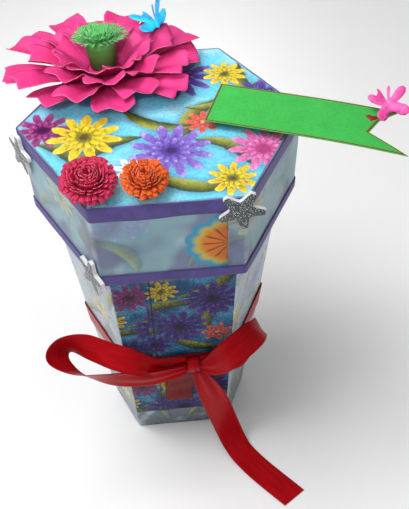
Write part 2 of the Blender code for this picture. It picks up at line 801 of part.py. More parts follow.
def fringed_coil(name, end_radius, heights, fringe_lengths, leans, taper_share, finish):
    """A strip wound on itself, its upper edge snipped into tabs that open outwards turn by turn."""
    stations = winding_stations(WINDING_START, end_radius, (TAB_WIDTH, NOTCH_WIDTH))
    half = STRIP_THICKNESS / 2
    inner = [[], [], []]
    outer = [[], [], []]
    for angle, radius in stations:
        share = (radius - WINDING_START) / (end_radius - WINDING_START)
        bend = heights[0] + (heights[1] - heights[0]) * share
        fringe = fringe_lengths[0] + (fringe_lengths[1] - fringe_lengths[0]) * share
        opened_share = max(share - 0.45, 0.0) / 0.55
        lean = math.radians(leans[0] + (leans[1] - leans[0]) * opened_share ** 1.6)
        tip = Vector((radius + fringe * math.sin(lean), bend + fringe * math.cos(lean)))
        side = Vector((math.cos(lean), -math.sin(lean))) * half
        profile_in = (
            Vector((radius * taper_share - half, 0.0)),
            Vector((radius - half, bend)),
            tip - side,
        )
        profile_out = (
            Vector((radius * taper_share + half, 0.0)),
            Vector((radius + half, bend)),
            tip + side,
        )
        for row in range(3):
            for grid, profile in ((inner, profile_in), (outer, profile_out)):
                point = profile[row]
                grid[row].append(Vector((
                    point.x * math.cos(angle),
                    point.x * math.sin(angle),
                    point.y,
                )))
    print_least_gap(name, [angle for angle, radius in stations], (inner, outer))
    mesh = cell_mesh(name, inner, outer, lambda row, span: row == 0 or span % 2 == 0)
    return add_object(name, mesh, finish)


def make_quilled_flowers(crimson, orange, lid):
    quills = (
        ("quilled_flower_crimson", CRIMSON_PLACE_SHARES, CRIMSON_RADIUS, CRIMSON_FRINGE, crimson),
        ("quilled_flower_orange", ORANGE_PLACE_SHARES, ORANGE_RADIUS, ORANGE_FRINGE, orange),
    )
    for name, place_shares, radius, fringe, finish in quills:
        item = fringed_coil(
            name, radius, (QUILL_CENTRE_HEIGHT, QUILL_EDGE_HEIGHT),
            (fringe * 0.72, fringe), (0.0, 104.0), 1.0, finish,
        )
        clear_of_lid = (radius + STRIP_THICKNESS) * math.sin(math.radians(QUILL_LEAN))
        item.location = on_lid(place_shares, GAP + clear_of_lid)
        item.rotation_euler = (math.radians(QUILL_LEAN), 0.0, 0.0)
        item.parent = lid


def tag_underside():
    return TOTAL_HEIGHT + GAP + TAG_PAD_HEIGHT + GAP


def tag_frame():
    along = Vector((math.cos(math.radians(TAG_TURN)), math.sin(math.radians(TAG_TURN)), 0.0))
    across = Vector((-along.y, along.x, 0.0))
    start = on_lid(TAG_START_SHARES, -TOTAL_HEIGHT)
    return start, along, across


def tag_sag(run):
    """Drop of the tag past its pads, as the strip bends under its own weight."""
    return TAG_SAG * max(run / TAG_LENGTH - 0.5, 0.0) ** 2 * 4


def make_tag(finish, pad_finish, lid):
    start, along, across = tag_frame()
    # across the strip as a share of half its width, and the reach there as a share of its length
    tail_shares = ((-1.0, 1.00), (-0.30, 0.80), (0.35, 0.84), (1.0, 0.93))
    rows = []
    for step in range(9):
        row = []
        for across_share, reach_share in tail_shares:
            run = TAG_LENGTH * reach_share * step / 8
            height = tag_underside() + TAG_THICKNESS / 2 - tag_sag(run)
            point = start + along * run + across * TAG_WIDTH / 2 * across_share
            row.append(Vector((point.x, point.y, height)))
        rows.append(row)
    low, high = thicken(rows, TAG_THICKNESS)
    add_object("gift_tag", cell_mesh("gift_tag", low, high, smooth_angle=30), finish, parent=lid)

    for name, run_share in (("tag_pad_left", 0.12), ("tag_pad_right", 0.40)):
        centre = start + along * TAG_LENGTH * run_share
        pad = bmesh.new()
        bmesh.ops.create_cone(
            pad, cap_ends=True, segments=24, radius1=TAG_PAD_RADIUS, radius2=TAG_PAD_RADIUS,
            depth=TAG_PAD_HEIGHT,
        )
        middle = TOTAL_HEIGHT + GAP + TAG_PAD_HEIGHT / 2
        add_object(name, mesh_from_bmesh(name, pad, 40), pad_finish, (centre.x, centre.y, middle), lid)


def make_butterfly(name, span, place, heading, tilt, raise_left, raise_right, finish, lid):
    """Punched paper butterfly: two halves, each with a feeler and two lobes, folded up along the body."""
    wing_shares = (
        (0.000, 0.120), (0.015, 0.160), (0.055, 0.290), (0.095, 0.410), (0.140, 0.465), (0.175, 0.440),
        (0.165, 0.380), (0.125, 0.290), (0.085, 0.190), (0.120, 0.180), (0.240, 0.290), (0.360, 0.355),
        (0.455, 0.350), (0.500, 0.275), (0.455, 0.180), (0.340, 0.100), (0.200, 0.035), (0.270, -0.020),
        (0.375, -0.090), (0.420, -0.195), (0.375, -0.295), (0.275, -0.330), (0.170, -0.285),
        (0.095, -0.180), (0.040, -0.140), (0.000, -0.160),
    )
    shape = bmesh.new()
    spine = [shape.verts.new((0.0, wing_shares[end][1] * span, 0.0)) for end in (0, -1)]
    for side, angle in ((-1, raise_left), (1, raise_right)):
        lift = math.radians(angle)
        rim = []
        for out_share, along_share in wing_shares[1:-1]:
            out = out_share * span
            rim.append(shape.verts.new((
                side * out * math.cos(lift), along_share * span, out * math.sin(lift),
            )))
        shape.faces.new([spine[0]] + rim + [spine[1]])
    bmesh.ops.recalc_face_normals(shape, faces=shape.faces)
    mesh = bpy.data.meshes.new(name)
    shape.to_mesh(mesh)
    shape.free()
    item = add_object(name, mesh, finish, place, lid)
    item.rotation_mode = "XYZ"
    item.rotation_euler = (math.radians(tilt), 0.0, math.radians(heading))
    sheet = item.modifiers.new("sheet", "SOLIDIFY")
    sheet.thickness = PAPER
    sheet.offset = 0.0
    return item


def make_butterflies(blue, pink, lid):
    perch = on_lid(BLUE_PLACE_SHARES, BLUE_HEIGHT)
    make_butterfly("butterfly_blue", BLUE_SPAN, perch, 14.0, 2.0, 12.0, 74.0, blue, lid)
    start, along, across = tag_frame()
    run = TAG_LENGTH * 0.905
    point = start + along * run + across * TAG_WIDTH * 0.42
    tilt = 22.0
    tail_drop = PINK_SPAN * 0.08 * math.sin(math.radians(tilt))
    height = tag_underside() + TAG_THICKNESS - tag_sag(run) + GAP + tail_drop
    make_butterfly("butterfly_pink", PINK_SPAN, (point.x, point.y, height), 16.0, tilt, 12.0, 22.0, pink, lid)


def main():
    clear_scene()
    card = material("grey_board", (0.62, 0.58, 0.50), 0.85)
    pale = material("pale_print_paper", (0.62, 0.72, 0.78), 0.35)
    floral = material("floral_sheet", (0.10, 0.42, 0.66), 0.35)
    cover = material("floral_cover", (0.30, 0.72, 0.86), 0.35)
    satin = material("red_satin", (0.52, 0.01, 0.02), 0.35)
    tape = material("purple_tape", (0.12, 0.07, 0.30), 0.45)
    glitter = material("silver_glitter_foam", (0.62, 0.63, 0.64), 0.35, 0.6)
    hot_pink = material("hot_pink_paper", (0.86, 0.04, 0.30), 0.6)
    green = material("green_paper", (0.10, 0.40, 0.12), 0.8)
    crimson = material("crimson_paper", (0.60, 0.02, 0.10), 0.8)
    orange = material("orange_paper", (0.80, 0.15, 0.01), 0.8)
    lime = material("green_tag_card", (0.08, 0.60, 0.10), 0.6)
    foam = material("white_foam", (0.85, 0.85, 0.85), 0.8)
    cyan = material("cyan_paper", (0.01, 0.50, 0.80), 0.6)
    rose = material("rose_paper", (0.90, 0.10, 0.50), 0.6)

    make_base(card)
    make_walls(card)
    make_wall_paper(pale)
    make_front_sheets(floral)
    make_band(satin)
    make_knot(satin)
    make_bow_loops(satin)
    make_tails(satin)

    lid = bpy.data.objects.new("lid", None)
    bpy.context.scene.collection.objects.link(lid)
    make_lid_box(card, cover, pale, tape, lid)
    make_stars(glitter, lid)
    make_flower(hot_pink, green, lid)
    make_quilled_flowers(crimson, orange, lid)
    make_tag(lime, foam, lid)
    make_butterflies(cyan, rose, lid)


if __name__ == "__main__":
    main()
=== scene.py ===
import math
import random

import bmesh
import bpy
from bpy.props import FloatProperty, FloatVectorProperty, IntProperty, PointerProperty
from bpy.types import Operator, Panel, PropertyGroup
from mathutils import Euler, Matrix, Vector, noise


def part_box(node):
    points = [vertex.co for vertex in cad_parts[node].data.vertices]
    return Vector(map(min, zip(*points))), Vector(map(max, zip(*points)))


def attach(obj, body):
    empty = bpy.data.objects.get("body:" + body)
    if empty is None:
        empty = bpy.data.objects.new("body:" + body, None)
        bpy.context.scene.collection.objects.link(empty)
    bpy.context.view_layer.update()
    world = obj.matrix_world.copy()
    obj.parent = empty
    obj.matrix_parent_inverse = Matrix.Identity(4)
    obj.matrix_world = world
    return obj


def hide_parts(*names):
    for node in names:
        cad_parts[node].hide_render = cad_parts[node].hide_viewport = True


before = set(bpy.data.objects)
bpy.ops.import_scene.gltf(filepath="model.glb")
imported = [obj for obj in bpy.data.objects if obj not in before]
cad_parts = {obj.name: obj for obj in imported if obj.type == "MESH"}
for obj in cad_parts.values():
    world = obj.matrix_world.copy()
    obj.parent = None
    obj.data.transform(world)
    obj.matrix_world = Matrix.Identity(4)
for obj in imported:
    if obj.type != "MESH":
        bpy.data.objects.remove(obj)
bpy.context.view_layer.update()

bl_info = {
    "name": "Hexagonal gift box",
    "version": (1, 0, 0),
    "blender": (4, 5, 0),
    "location": "View3D > Sidebar > Gift Box",
    "description": "Dresses a card gift box in printed paper, a satin bow and paper flowers",
    "category": "Add Mesh",
}

MM = 0.001
HALF_ROOT3 = math.sqrt(3) / 2

# The box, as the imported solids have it
GAP = 0.3 * MM
PAPER = 0.4 * MM
LID_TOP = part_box("lid_cover_sheet")[1].z
LID_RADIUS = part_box("trim_tape_upper")[1].x
SKIRT_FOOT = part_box("skirt_paper")[0].z
SKIRT_DEEP = 60 * MM
SKIRT_PAPER_IN = 0.7 * MM
SKIRT_SEAM = 31.2 * MM
LAP_OUT = 1.4 * MM
BODY_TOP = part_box("wall_paper")[1].z
RIM_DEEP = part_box("wall_paper")[1].y
# Each hexagon's half front side, half width and half depth
FOOT_HEXAGON = (36 * MM, 55.5 * MM, 40.5 * MM)
RIM_HEXAGON = (RIM_DEEP / math.sqrt(3), RIM_DEEP / HALF_ROOT3, RIM_DEEP)
FRONT_LEFT, FRONT, BACK = 0, 1, 4


def rgb(red, green, blue):
    """A colour as a screen shows it, 0 to 255, made linear."""
    values = [channel / 255 for channel in (red, green, blue)]
    return tuple(v / 12.92 if v <= 0.04045 else ((v + 0.055) / 1.055) ** 2.4 for v in values)


def dimmed(colour, share):
    return tuple(channel * share for channel in colour)


def both_ways(operation):
    """An operator and its reflected form, so that 1 - mask works as mask - 1 does."""
    def forward(self, other):
        return self.nodes.math(operation, self, other)

    def reflected(self, other):
        return self.nodes.math(operation, other, self)

    return forward, reflected


class Amount:
    """A number that changes over a surface. Arithmetic on it adds the nodes that work it out."""

    def __init__(self, nodes, socket):
        self.nodes = nodes
        self.socket = socket

    def __neg__(self):
        return self * -1.0

    def __abs__(self):
        return self.nodes.math("ABSOLUTE", self)

    __add__, __radd__ = both_ways("ADD")
    __sub__, __rsub__ = both_ways("SUBTRACT")
    __mul__, __rmul__ = both_ways("MULTIPLY")
    __truediv__, __rtruediv__ = both_ways("DIVIDE")
    __pow__, __rpow__ = both_ways("POWER")
    __mod__, __rmod__ = both_ways("FLOORED_MODULO")


class Nodes:
    """A tree of shader nodes and the few ways in which this box's papers use them."""

    def __init__(self, tree):
        self.tree = tree

    def fill(self, node, values):
        """Set or link a node's sockets, which are given by name or number."""
        for name, value in values.items():
            if isinstance(value, Amount):
                value = value.socket
            if isinstance(value, bpy.types.NodeSocket):
                self.tree.links.new(value, node.inputs[name])
            else:
                node.inputs[name].default_value = value
        return node

    def add(self, kind, settings=None, values=None):
        """Add one node: its settings first, then the values or the links of its sockets."""
        node = self.tree.nodes.new(kind if kind.startswith("NodeGroup") else "ShaderNode" + kind)
        for name, value in (settings or {}).items():
            setattr(node, name, value)
        return self.fill(node, values or {})

    def math(self, operation, *values):
        node = self.add("Math", {"operation": operation}, dict(enumerate(values)))
        return Amount(self, node.outputs[0])

    def vector(self, operation, *values):
        node = self.add("VectorMath", {"operation": operation}, dict(enumerate(values)))
        return node.outputs[0]

    def parts(self, vector):
        split = self.add("SeparateXYZ", None, {0: vector})
        return [Amount(self, socket) for socket in split.outputs]

    def joined(self, x, y):
        return self.add("CombineXYZ", None, {0: x, 1: y}).outputs[0]

    def stretched(self, vector, x=1.0, y=1.0, z=1.0):
        return self.vector("MULTIPLY", vector, (x, y, z))

    def texture(self, vector, size, detail=2.0):
        values = {"Vector": vector, "Scale": 1 / size, "Detail": detail}
        return self.add("TexNoise", None, values).outputs

    def noise(self, vector, size, detail=2.0):
        """Soft noise from 0 to 1, with blobs about size millimetres wide."""
        return Amount(self, self.texture(vector, size, detail)[0])

    def wobbled(self, vector, size, reach):
        """The same place pushed about a little, so that a printed edge isn't drawn too cleanly."""
        centred = self.vector("SUBTRACT", self.texture(vector, size)[1], (0.5, 0.5, 0.5))
        return self.vector("MULTIPLY_ADD", centred, (reach, reach, reach), vector)

    def cells(self, vector, size):
        """Two random numbers for each small cell."""
        cell = self.add("TexVoronoi", None, {"Vector": vector, "Scale": 1 / size})
        split = self.add("SeparateColor", None, {0: cell.outputs["Color"]})
        return [Amount(self, socket) for socket in split.outputs[:2]]

    def step(self, value, low, high):
        """Smooth step from 0 at low to 1 at high; low may be the greater of the two."""
        if low > high:
            return 1 - self.step(value, high, low)
        values = {"Value": value, "From Min": low, "From Max": high}
        node = self.add("MapRange", {"interpolation_type": "SMOOTHSTEP"}, values)
        return Amount(self, node.outputs[0])

    def colour(self, value):
        return (*value, 1.0) if isinstance(value, tuple) and len(value) == 3 else value

    def mix(self, first, second, share, blend="MIX"):
        """A colour that goes from first to second as share goes from 0 to 1."""
        values = {0: share, 6: self.colour(first), 7: self.colour(second)}
        return self.add("Mix", {"data_type": "RGBA", "blend_type": blend}, values).outputs[2]

    def stamp(self, motif, **values):
        """Print a motif once."""
        return self.add("Group", {"node_tree": motif}, values).outputs["Printed"]


class Finish(Nodes):
    """A material built round one Principled shader. Lengths in it are millimetres."""

    def __init__(self, name, **constants):
        self.material = bpy.data.materials.new(name)
        self.material.use_nodes = True
        super().__init__(self.material.node_tree)
        self.shader = self.tree.nodes["Principled BSDF"]
        for words, value in constants.items():
            self.feed(words.replace("_", " ").title().replace("Ior", "IOR"), value)

    def object_place(self):
        """Object coordinates as one vector in millimetres."""
        return self.vector("MULTIPLY", self.add("TexCoord").outputs["Object"], (1 / MM,) * 3)

    def feed(self, socket, value):
        self.fill(self.shader, {socket: value})

    def paint(self, colour):
        self.feed("Base Color", colour)

    def bump(self, height, depth):
        """Raise the surface by height, a number from 0 to 1, times depth in millimetres."""
        bump = self.add("Bump", None, {"Height": height, "Distance": depth * MM})
        self.feed("Normal", bump.outputs[0])


class Motif(Nodes):
    """A printed motif as a node group, which takes the paper's colour and gives the printed one."""

    def __init__(self, name, numbers, inks=()):
        super().__init__(bpy.data.node_groups.new(name, "ShaderNodeTree"))
        face = self.tree.interface
        kinds = {"Float": numbers, "Vector": ("Place", "Middle"), "Color": ("Paper", *inks)}
        for kind, labels in kinds.items():
            for label in labels:
                face.new_socket(label, in_out="INPUT", socket_type="NodeSocket" + kind)
        face.new_socket("Printed", in_out="OUTPUT", socket_type="NodeSocketColor")
        self.given = self.add("NodeGroupInput").outputs
        self.offset = self.vector("SUBTRACT", self.given["Place"], self.given["Middle"])

    def number(self, label):
        return Amount(self, self.given[label])

    def finished(self, shadow, shade, colour, ink):
        """Shade the paper, print colour on it as far as ink says, and give back the group."""
        paper = self.mix(self.given["Paper"], shadow, shade)
        self.add("NodeGroupOutput", None, {"Printed": self.mix(paper, colour, ink)})
        return self.tree


# Colours of the printed papers
SKY = rgb(112, 206, 234)
SKY_PALE = rgb(168, 228, 240)
WHITE = rgb(240, 240, 244)
PINK_DEEP = rgb(176, 60, 120)
YELLOW = rgb(232, 196, 36)
OLIVE = rgb(118, 126, 44)
OLIVE_DARK = rgb(62, 74, 44)
LIME = rgb(176, 178, 74)

# Each blossom's inks: its petals' dark, body and light, and its eye
INK_LABELS = ("Dark", "Body", "Light", "Eye")
BLOSSOM_INKS = {
    "purple": (rgb(84, 58, 150), rgb(132, 104, 196), rgb(196, 176, 232), rgb(50, 30, 90)),
    "pink": (PINK_DEEP, rgb(226, 112, 178), rgb(246, 176, 214), PINK_DEEP),
    "yellow": (OLIVE, YELLOW, rgb(250, 232, 110), rgb(96, 58, 40)),
    "coral": (PINK_DEEP, rgb(222, 92, 60), rgb(246, 150, 96), YELLOW),
    "white": (rgb(150, 150, 206), WHITE, WHITE, LIME),
    "dusk": (rgb(34, 26, 76), rgb(80, 52, 144), rgb(136, 108, 196), rgb(24, 16, 52)),
    "plum": (rgb(70, 20, 76), rgb(150, 54, 118), rgb(196, 100, 160), rgb(50, 20, 50)),
}
LOBE_DEPTH = 0.55
LEAF_SHADOW = (0.02, 0.04, 0.10)
BLOSSOM_SHADOW = (0.02, 0.03, 0.10)


def leaf_motif():
    """A curved, tapered leaf with a pale side, a dark side and a midrib."""
    leaf = Motif("leaf", ("Length", "Width", "Turn", "Bend", "Strokes"))
    turned = leaf.add(
        "VectorRotate", {"rotation_type": "Z_AXIS"},
        {"Vector": leaf.offset, "Angle": -leaf.number("Turn")},
    )
    x, y = leaf.parts(turned.outputs[0])[:2]
    along = x / (leaf.number("Length") * 0.5)
    taper = leaf.math("MAXIMUM", 1 - along * along, 0.0)
    off = (y - taper * leaf.number("Bend")) / (taper ** 0.8 * leaf.number("Width") * 0.5 + 0.05)
    green = leaf.mix(OLIVE_DARK, LIME, leaf.step(off + leaf.number("Strokes") * 0.9, -0.5, 1.5))
    green = leaf.mix(green, OLIVE_DARK, leaf.step(along, 0.0, 1.0) * 0.85)
    green = leaf.mix(OLIVE, green, leaf.step(abs(off), 0.04, 0.2))
    ink = leaf.step(abs(off), 1.0, 0.82) * leaf.step(taper, 0.0, 0.06)
    return leaf.finished(LEAF_SHADOW, leaf.step(abs(off), 1.9, 0.9) * 0.35, green, ink)


def blossom_motif():
    """Three rounds of pointed petals, brushed from dark to light, over a soft shadow."""
    blossom = Motif("blossom", ("Radius", "Petals", "Turn", "Strokes"), INK_LABELS)
    dark, body, light, eye = (blossom.given[label] for label in INK_LABELS)
    x, y = blossom.parts(blossom.offset)[:2]
    out = blossom.math("SQRT", x * x + y * y) / blossom.number("Radius")
    angle = blossom.math("ARCTAN2", y, x) + blossom.number("Turn")
    angle = angle * blossom.number("Petals") * 0.5
    lobes = (abs(blossom.math("COSINE", angle)), abs(blossom.math("SINE", angle)))
    strokes = (blossom.number("Strokes") - 0.5) * 0.6
    colour = dark
    rounds = []
    for ring, size in enumerate((1.0, 0.74, 0.46)):
        lobe = lobes[ring % 2]
        reached = out / ((lobe * LOBE_DEPTH + (1 - LOBE_DEPTH)) * size)
        brushed = reached * (lobe * 0.55 + 0.45) + strokes
        petal = blossom.mix(dark, body, blossom.step(brushed, 0.34, 0.72))
        petal = blossom.mix(petal, light, blossom.step(brushed, 0.74, 1.05))
        petal = blossom.mix(petal, dark, blossom.step(lobe, 0.36, 0.06) * 0.8)
        rounds.append(blossom.step(reached, 1.03, 0.94))
        colour = blossom.mix(colour, petal, rounds[-1])
    colour = blossom.mix(colour, eye, blossom.step(out, 0.17, 0.09) * 0.85)
    shade = blossom.step(out, 1.15, 0.55) * 0.4
    return blossom.finished(BLOSSOM_SHADOW, shade, colour, rounds[0])


def floral_print(finish, place, flat, colour, leaves, blossoms):
    """Print leaves, then blossoms over them, at flat on the paper whose own place is given."""
    strokes = finish.noise(finish.stretched(place, y=0.35), 1.8, 3.0)
    leaf, blossom = leaf_motif(), blossom_motif()
    for middle, length, width, turn, bend in leaves:
        colour = finish.stamp(
            leaf, Paper=colour, Place=flat, Middle=(*middle, 0.0), Length=length, Width=width,
            Turn=math.radians(turn), Bend=bend, Strokes=strokes,
        )
    for kind, middle, radius, petals, turn in blossoms:
        inks = zip(INK_LABELS, map(finish.colour, BLOSSOM_INKS[kind]))
        colour = finish.stamp(
            blossom, Paper=colour, Place=flat, Middle=(*middle, 0.0), Radius=radius,
            Petals=petals, Turn=turn, Strokes=strokes, **dict(inks),
        )
    return colour


def grained(finish, place, colour, size, shade, low, high, least=0.0):
    """Darken a print towards shade times its colour, in fine grains."""
    grain = finish.step(finish.noise(place, size, 3.0), low, high)
    if least:
        grain = finish.math("MAXIMUM", grain, least)
    return finish.mix(colour, finish.mix(colour, shade, 1.0, "MULTIPLY"), grain)


def glossed(finish, place, blob, change, least, swell, depth, detail=2.0):
    """Vary the gloss in soft blobs, and let the paper swell a little."""
    finish.feed("Roughness", finish.noise(place, blob) * change + least)
    finish.bump(finish.noise(place, swell, detail), depth)
    return finish.material


def lid_cover_paper():
    """Sky blue gift wrap with big blossoms and curved olive leaves, a made-up layout."""
    finish = Finish("lid_cover_paper", roughness=0.32, specular_ior_level=0.45, coat_weight=0.12)
    place = finish.object_place()
    flat = finish.stretched(finish.wobbled(place, 5.0, 2.6), z=0.0)
    ground = finish.mix(SKY, SKY_PALE, finish.step(finish.noise(place, 26.0, 3.0), 0.45, 0.75))
    leaves = (
        ((-30, -30), 48, 10, 35, 8), ((14, -54), 50, 10, -18, -7), ((26, -6), 54, 11, 58, 10),
        ((64, -20), 40, 10, 15, -6), ((-58, -32), 40, 10, -50, 7), ((-2, 2), 48, 9, 152, 8),
        ((58, 34), 44, 10, 105, 7), ((38, 20), 52, 10, 25, -9), ((-4, 62), 46, 10, -35, 6),
        ((70, -2), 30, 8, -60, 5), ((32, -34), 38, 9, -40, 7),
    )
    blossoms = (
        ("white", (-18, -44), 11, 8, 0.2), ("coral", (24, -6), 11, 8, 0.1),
        ("purple", (4, -30), 24, 12, 0.3), ("yellow", (35, -57), 14, 10, 0.5),
        ("pink", (55, -34), 20, 11, 0.9), ("plum", (-68, -4), 17, 10, 0.6),
        ("yellow", (-44, -13), 22, 11, 0.2), ("dusk", (62, 14), 20, 11, 0.8),
        ("dusk", (12, 42), 24, 12, 0.1), ("yellow", (42, 42), 14, 10, 0.4),
    )
    colour = floral_print(finish, place, flat, ground, leaves, blossoms)
    finish.paint(grained(finish, place, colour, 1.6, (0.62, 0.70, 0.76), 0.35, 0.8))
    return glossed(finish, place, 14.0, 0.2, 0.24, 22.0, 0.4)


def front_sheet_paper(name, shift, edge_in_shade):
    """The same kind of wrap cut for the front, printed deeper and busier, with painted shade under
    the lid and a painted shadow along the lap.
    """
    finish = Finish(name, roughness=0.45, specular_ior_level=0.18)
    place = finish.object_place()
    across, height = finish.parts(place)[::2]
    u, v = finish.parts(finish.wobbled(place, 5.0, 2.4))[::2]
    flat = finish.joined(u + shift[0], (v + shift[1]) % 120.0)
    wash = finish.step(finish.noise(place, 18.0, 3.0), 0.35, 0.6)
    ground = finish.mix(rgb(30, 92, 142), rgb(84, 172, 212), wash)
    leaves = (
        ((-24, 20), 42, 9, 30, 6), ((14, 12), 44, 9, -25, -6), ((28, 42), 40, 9, 70, 7),
        ((-8, 52), 46, 10, 15, 7), ((-30, 70), 38, 9, -60, 6), ((20, 82), 48, 10, 40, -8),
        ((-14, 96), 38, 9, 150, 6), ((32, 104), 30, 8, 10, 5),
    )
    blossoms = (
        ("dusk", (2, 32), 20, 12, 0.2), ("coral", (27, 22), 11, 7, 0.5),
        ("dusk", (-26, 46), 18, 11, 0.7), ("yellow", (-8, 74), 11, 10, 0.1),
        ("dusk", (24, 62), 20, 12, 0.0), ("coral", (-30, 92), 12, 7, 0.3),
        ("plum", (6, 100), 15, 10, 0.8), ("dusk", (-16, 12), 13, 9, 0.4),
    )
    colour = floral_print(finish, place, flat, ground, leaves, blossoms)
    # Painted shade: the sheet darkens towards its top, under the lid
    painted_lid_shade = finish.step(height, 150.0, 215.0) * 0.5
    # Its dark grains are partly deep print and partly painted shade over the whole front
    colour = grained(finish, place, colour, 1.4, (0.19, 0.19, 0.25), 0.15, 0.75, painted_lid_shade)
    # Painted shadow: a near-black band along the edge of the lap
    painted_lap_shadow = finish.step(abs(across - edge_in_shade), 0.9, 0.3) * 0.85
    finish.paint(finish.mix(colour, (0.01, 0.012, 0.03), painted_lap_shadow))
    return glossed(finish, place, 12.0, 0.2, 0.34, 16.0, 0.4)


def blurred_print(finish, place, colour, inks):
    """Soft out-of-focus blotches: each ink has a blob size, a threshold and a strength."""
    for offset, (ink, size, threshold, strength) in enumerate(inks):
        moved = finish.vector("ADD", place, (offset * 61.0, 17.0, 5.0))
        blob = finish.step(finish.noise(moved, size, 1.5), threshold, threshold + 0.12)
        colour = finish.mix(colour, ink, blob * strength)
    return colour


def faint_repeat(finish, place, ground, strength):
    """Leaves, twigs and small blossoms that repeat round the box, faded here and there."""
    x, y, z = finish.parts(finish.wobbled(place, 6.0, 3.0))
    around = finish.math("ARCTAN2", y, x) * (360 / math.tau)
    flat = finish.joined(around % 90.0, z % 108.0)
    leaves = (
        ((20, 22), 34, 8, 40, 5), ((44, 30), 40, 2.2, 75, 5), ((66, 24), 34, 8, 120, -6),
        ((24, 62), 38, 2.4, 20, -5), ((58, 72), 38, 9, 60, 6), ((24, 90), 30, 8, -35, 5),
        ((70, 94), 30, 2.2, 10, 4),
    )
    blossoms = (
        ("yellow", (34, 44), 12, 10, 0.3), ("purple", (70, 50), 14, 11, 0.1),
        ("plum", (46, 92), 11, 9, 0.6),
    )
    printed = floral_print(finish, place, flat, ground, leaves, blossoms)
    faded = finish.step(finish.noise(place, 26.0, 1.0), 0.2, 0.7) * 0.7 + 0.3
    return finish.mix(ground, printed, faded * strength)


def whitened_corners(finish, place, colour, foot, rim, height):
    """Whiten a paper in patches along the upright corners of the hexagons foot and rim."""
    x, y, z = finish.parts(place)
    share = z / (height / MM)
    ends = zip(foot[:2], rim[:2])
    front, across = (low / MM + share * ((high - low) / MM) for low, high in ends)
    at_front = finish.step(abs(abs(x) - front), 2.4, 0.5) * finish.step(abs(y), 15.0, 25.0)
    at_side = finish.step(abs(abs(x) - across), 2.4, 0.5)
    patchy = finish.step(finish.noise(place, 16.0, 3.0), 0.3, 0.75)
    whitened = finish.math("MAXIMUM", at_front, at_side) * patchy
    finish.paint(finish.mix(colour, WHITE, whitened * 0.4))


def skirt_print_paper():
    """Pale grey-blue paper with soft blotches and a round blossom that the seam cuts in half."""
    finish = Finish("skirt_print_paper", roughness=0.4, specular_ior_level=0.28)
    place = finish.object_place()
    u, depth, v = finish.parts(finish.wobbled(place, 6.0, 1.2))
    ground = finish.mix(rgb(100, 134, 148), rgb(158, 190, 198), finish.noise(place, 30.0))
    inks = (
        (rgb(104, 88, 134), 34.0, 0.50, 0.6),
        (rgb(96, 78, 76), 26.0, 0.57, 0.5),
        (rgb(200, 212, 216), 26.0, 0.58, 0.3),
    )
    colour = faint_repeat(finish, place, blurred_print(finish, place, ground, inks), 0.5)
    across = u - 33.0
    up = (v - 245.0) * 1.2
    lobe = abs(finish.math("COSINE", finish.math("ARCTAN2", up, across) * 6.5))
    reached = finish.math("SQRT", across * across + up * up) / (lobe * 2.6 + 24.0)
    fan = finish.mix(rgb(120, 66, 30), rgb(216, 116, 36), finish.step(lobe, 0.1, 0.6))
    fan = finish.mix(fan, rgb(196, 180, 70), finish.step(reached, 0.54, 0.76) * 0.9)
    fan = finish.mix(fan, rgb(62, 146, 180), finish.step(reached, 0.70, 0.90))
    seam = SKIRT_SEAM / MM
    on_front = finish.step(depth, -70.0, -71.0) * finish.step(u, seam + 0.1, seam - 0.1)
    colour = finish.mix(colour, fan, finish.step(reached, 1.02, 0.96) * on_front)
    lid = (LID_RADIUS / 2, LID_RADIUS)
    whitened_corners(finish, place, colour, lid, lid, LID_TOP)
    return glossed(finish, place, 12.0, 0.2, 0.3, 20.0, 0.5)


def wall_print_paper():
    """Pale glossy paper on the body, with a faint repeat of leaves, twigs and small blossoms, and
    painted shade towards its foot.
    """
    finish = Finish("wall_print_paper", roughness=0.28, specular_ior_level=0.3, coat_weight=0.08)
    place = finish.object_place()
    ground = finish.mix(rgb(124, 150, 168), rgb(184, 197, 205), finish.noise(place, 34.0))
    height = finish.parts(place)[2]
    # Painted shade: the ground darkens towards the foot
    ground = finish.mix(ground, rgb(62, 74, 88), finish.step(height, 120.0, 0.0) * 0.8)
    inks = ((rgb(84, 62, 74), 24.0, 0.58, 0.55), (rgb(206, 218, 222), 20.0, 0.58, 0.45))
    colour = faint_repeat(finish, place, blurred_print(finish, place, ground, inks), 0.85)
    whitened_corners(finish, place, colour, FOOT_HEXAGON, RIM_HEXAGON, BODY_TOP)
    return glossed(finish, place, 12.0, 0.18, 0.2, 26.0, 0.5, 1.0)


def mottled(name, colours, blobs, edges, tooth=None, **constants):
    """Two colours in blobs of a size and detail. A tooth has size, detail, depth and stretch."""
    finish = Finish(name, **constants)
    place = finish.object_place()
    finish.paint(finish.mix(*colours, finish.step(finish.noise(place, *blobs), *edges)))
    if tooth:
        size, detail, depth, stretch = tooth
        finish.bump(finish.noise(finish.stretched(place, z=stretch), size, detail), depth)
    return finish.material


def pale_edge(name, colour, white=0.3):
    """The cut edge of coloured paper, where its pale core shows through."""
    pale = tuple(channel * (1 - white) + white for channel in colour)
    return mottled(name, (colour, pale), (0.7, 2.0), (0.3, 0.7), roughness=0.8)


def white_foam():
    return mottled(
        "white_foam", (rgb(180, 182, 182), rgb(220, 221, 220)), (0.5, 2.0), (0.3, 0.6),
        (0.5, 2.0, 0.08, 1.0), roughness=0.85,
    )


def purple_tape(colour):
    return mottled(
        "purple_tape", (dimmed(colour, 0.72), colour), (7.0, 3.0), (0.3, 0.7),
        (0.5, 2.0, 0.1, 0.15), roughness=0.5, specular_ior_level=0.4,
    )


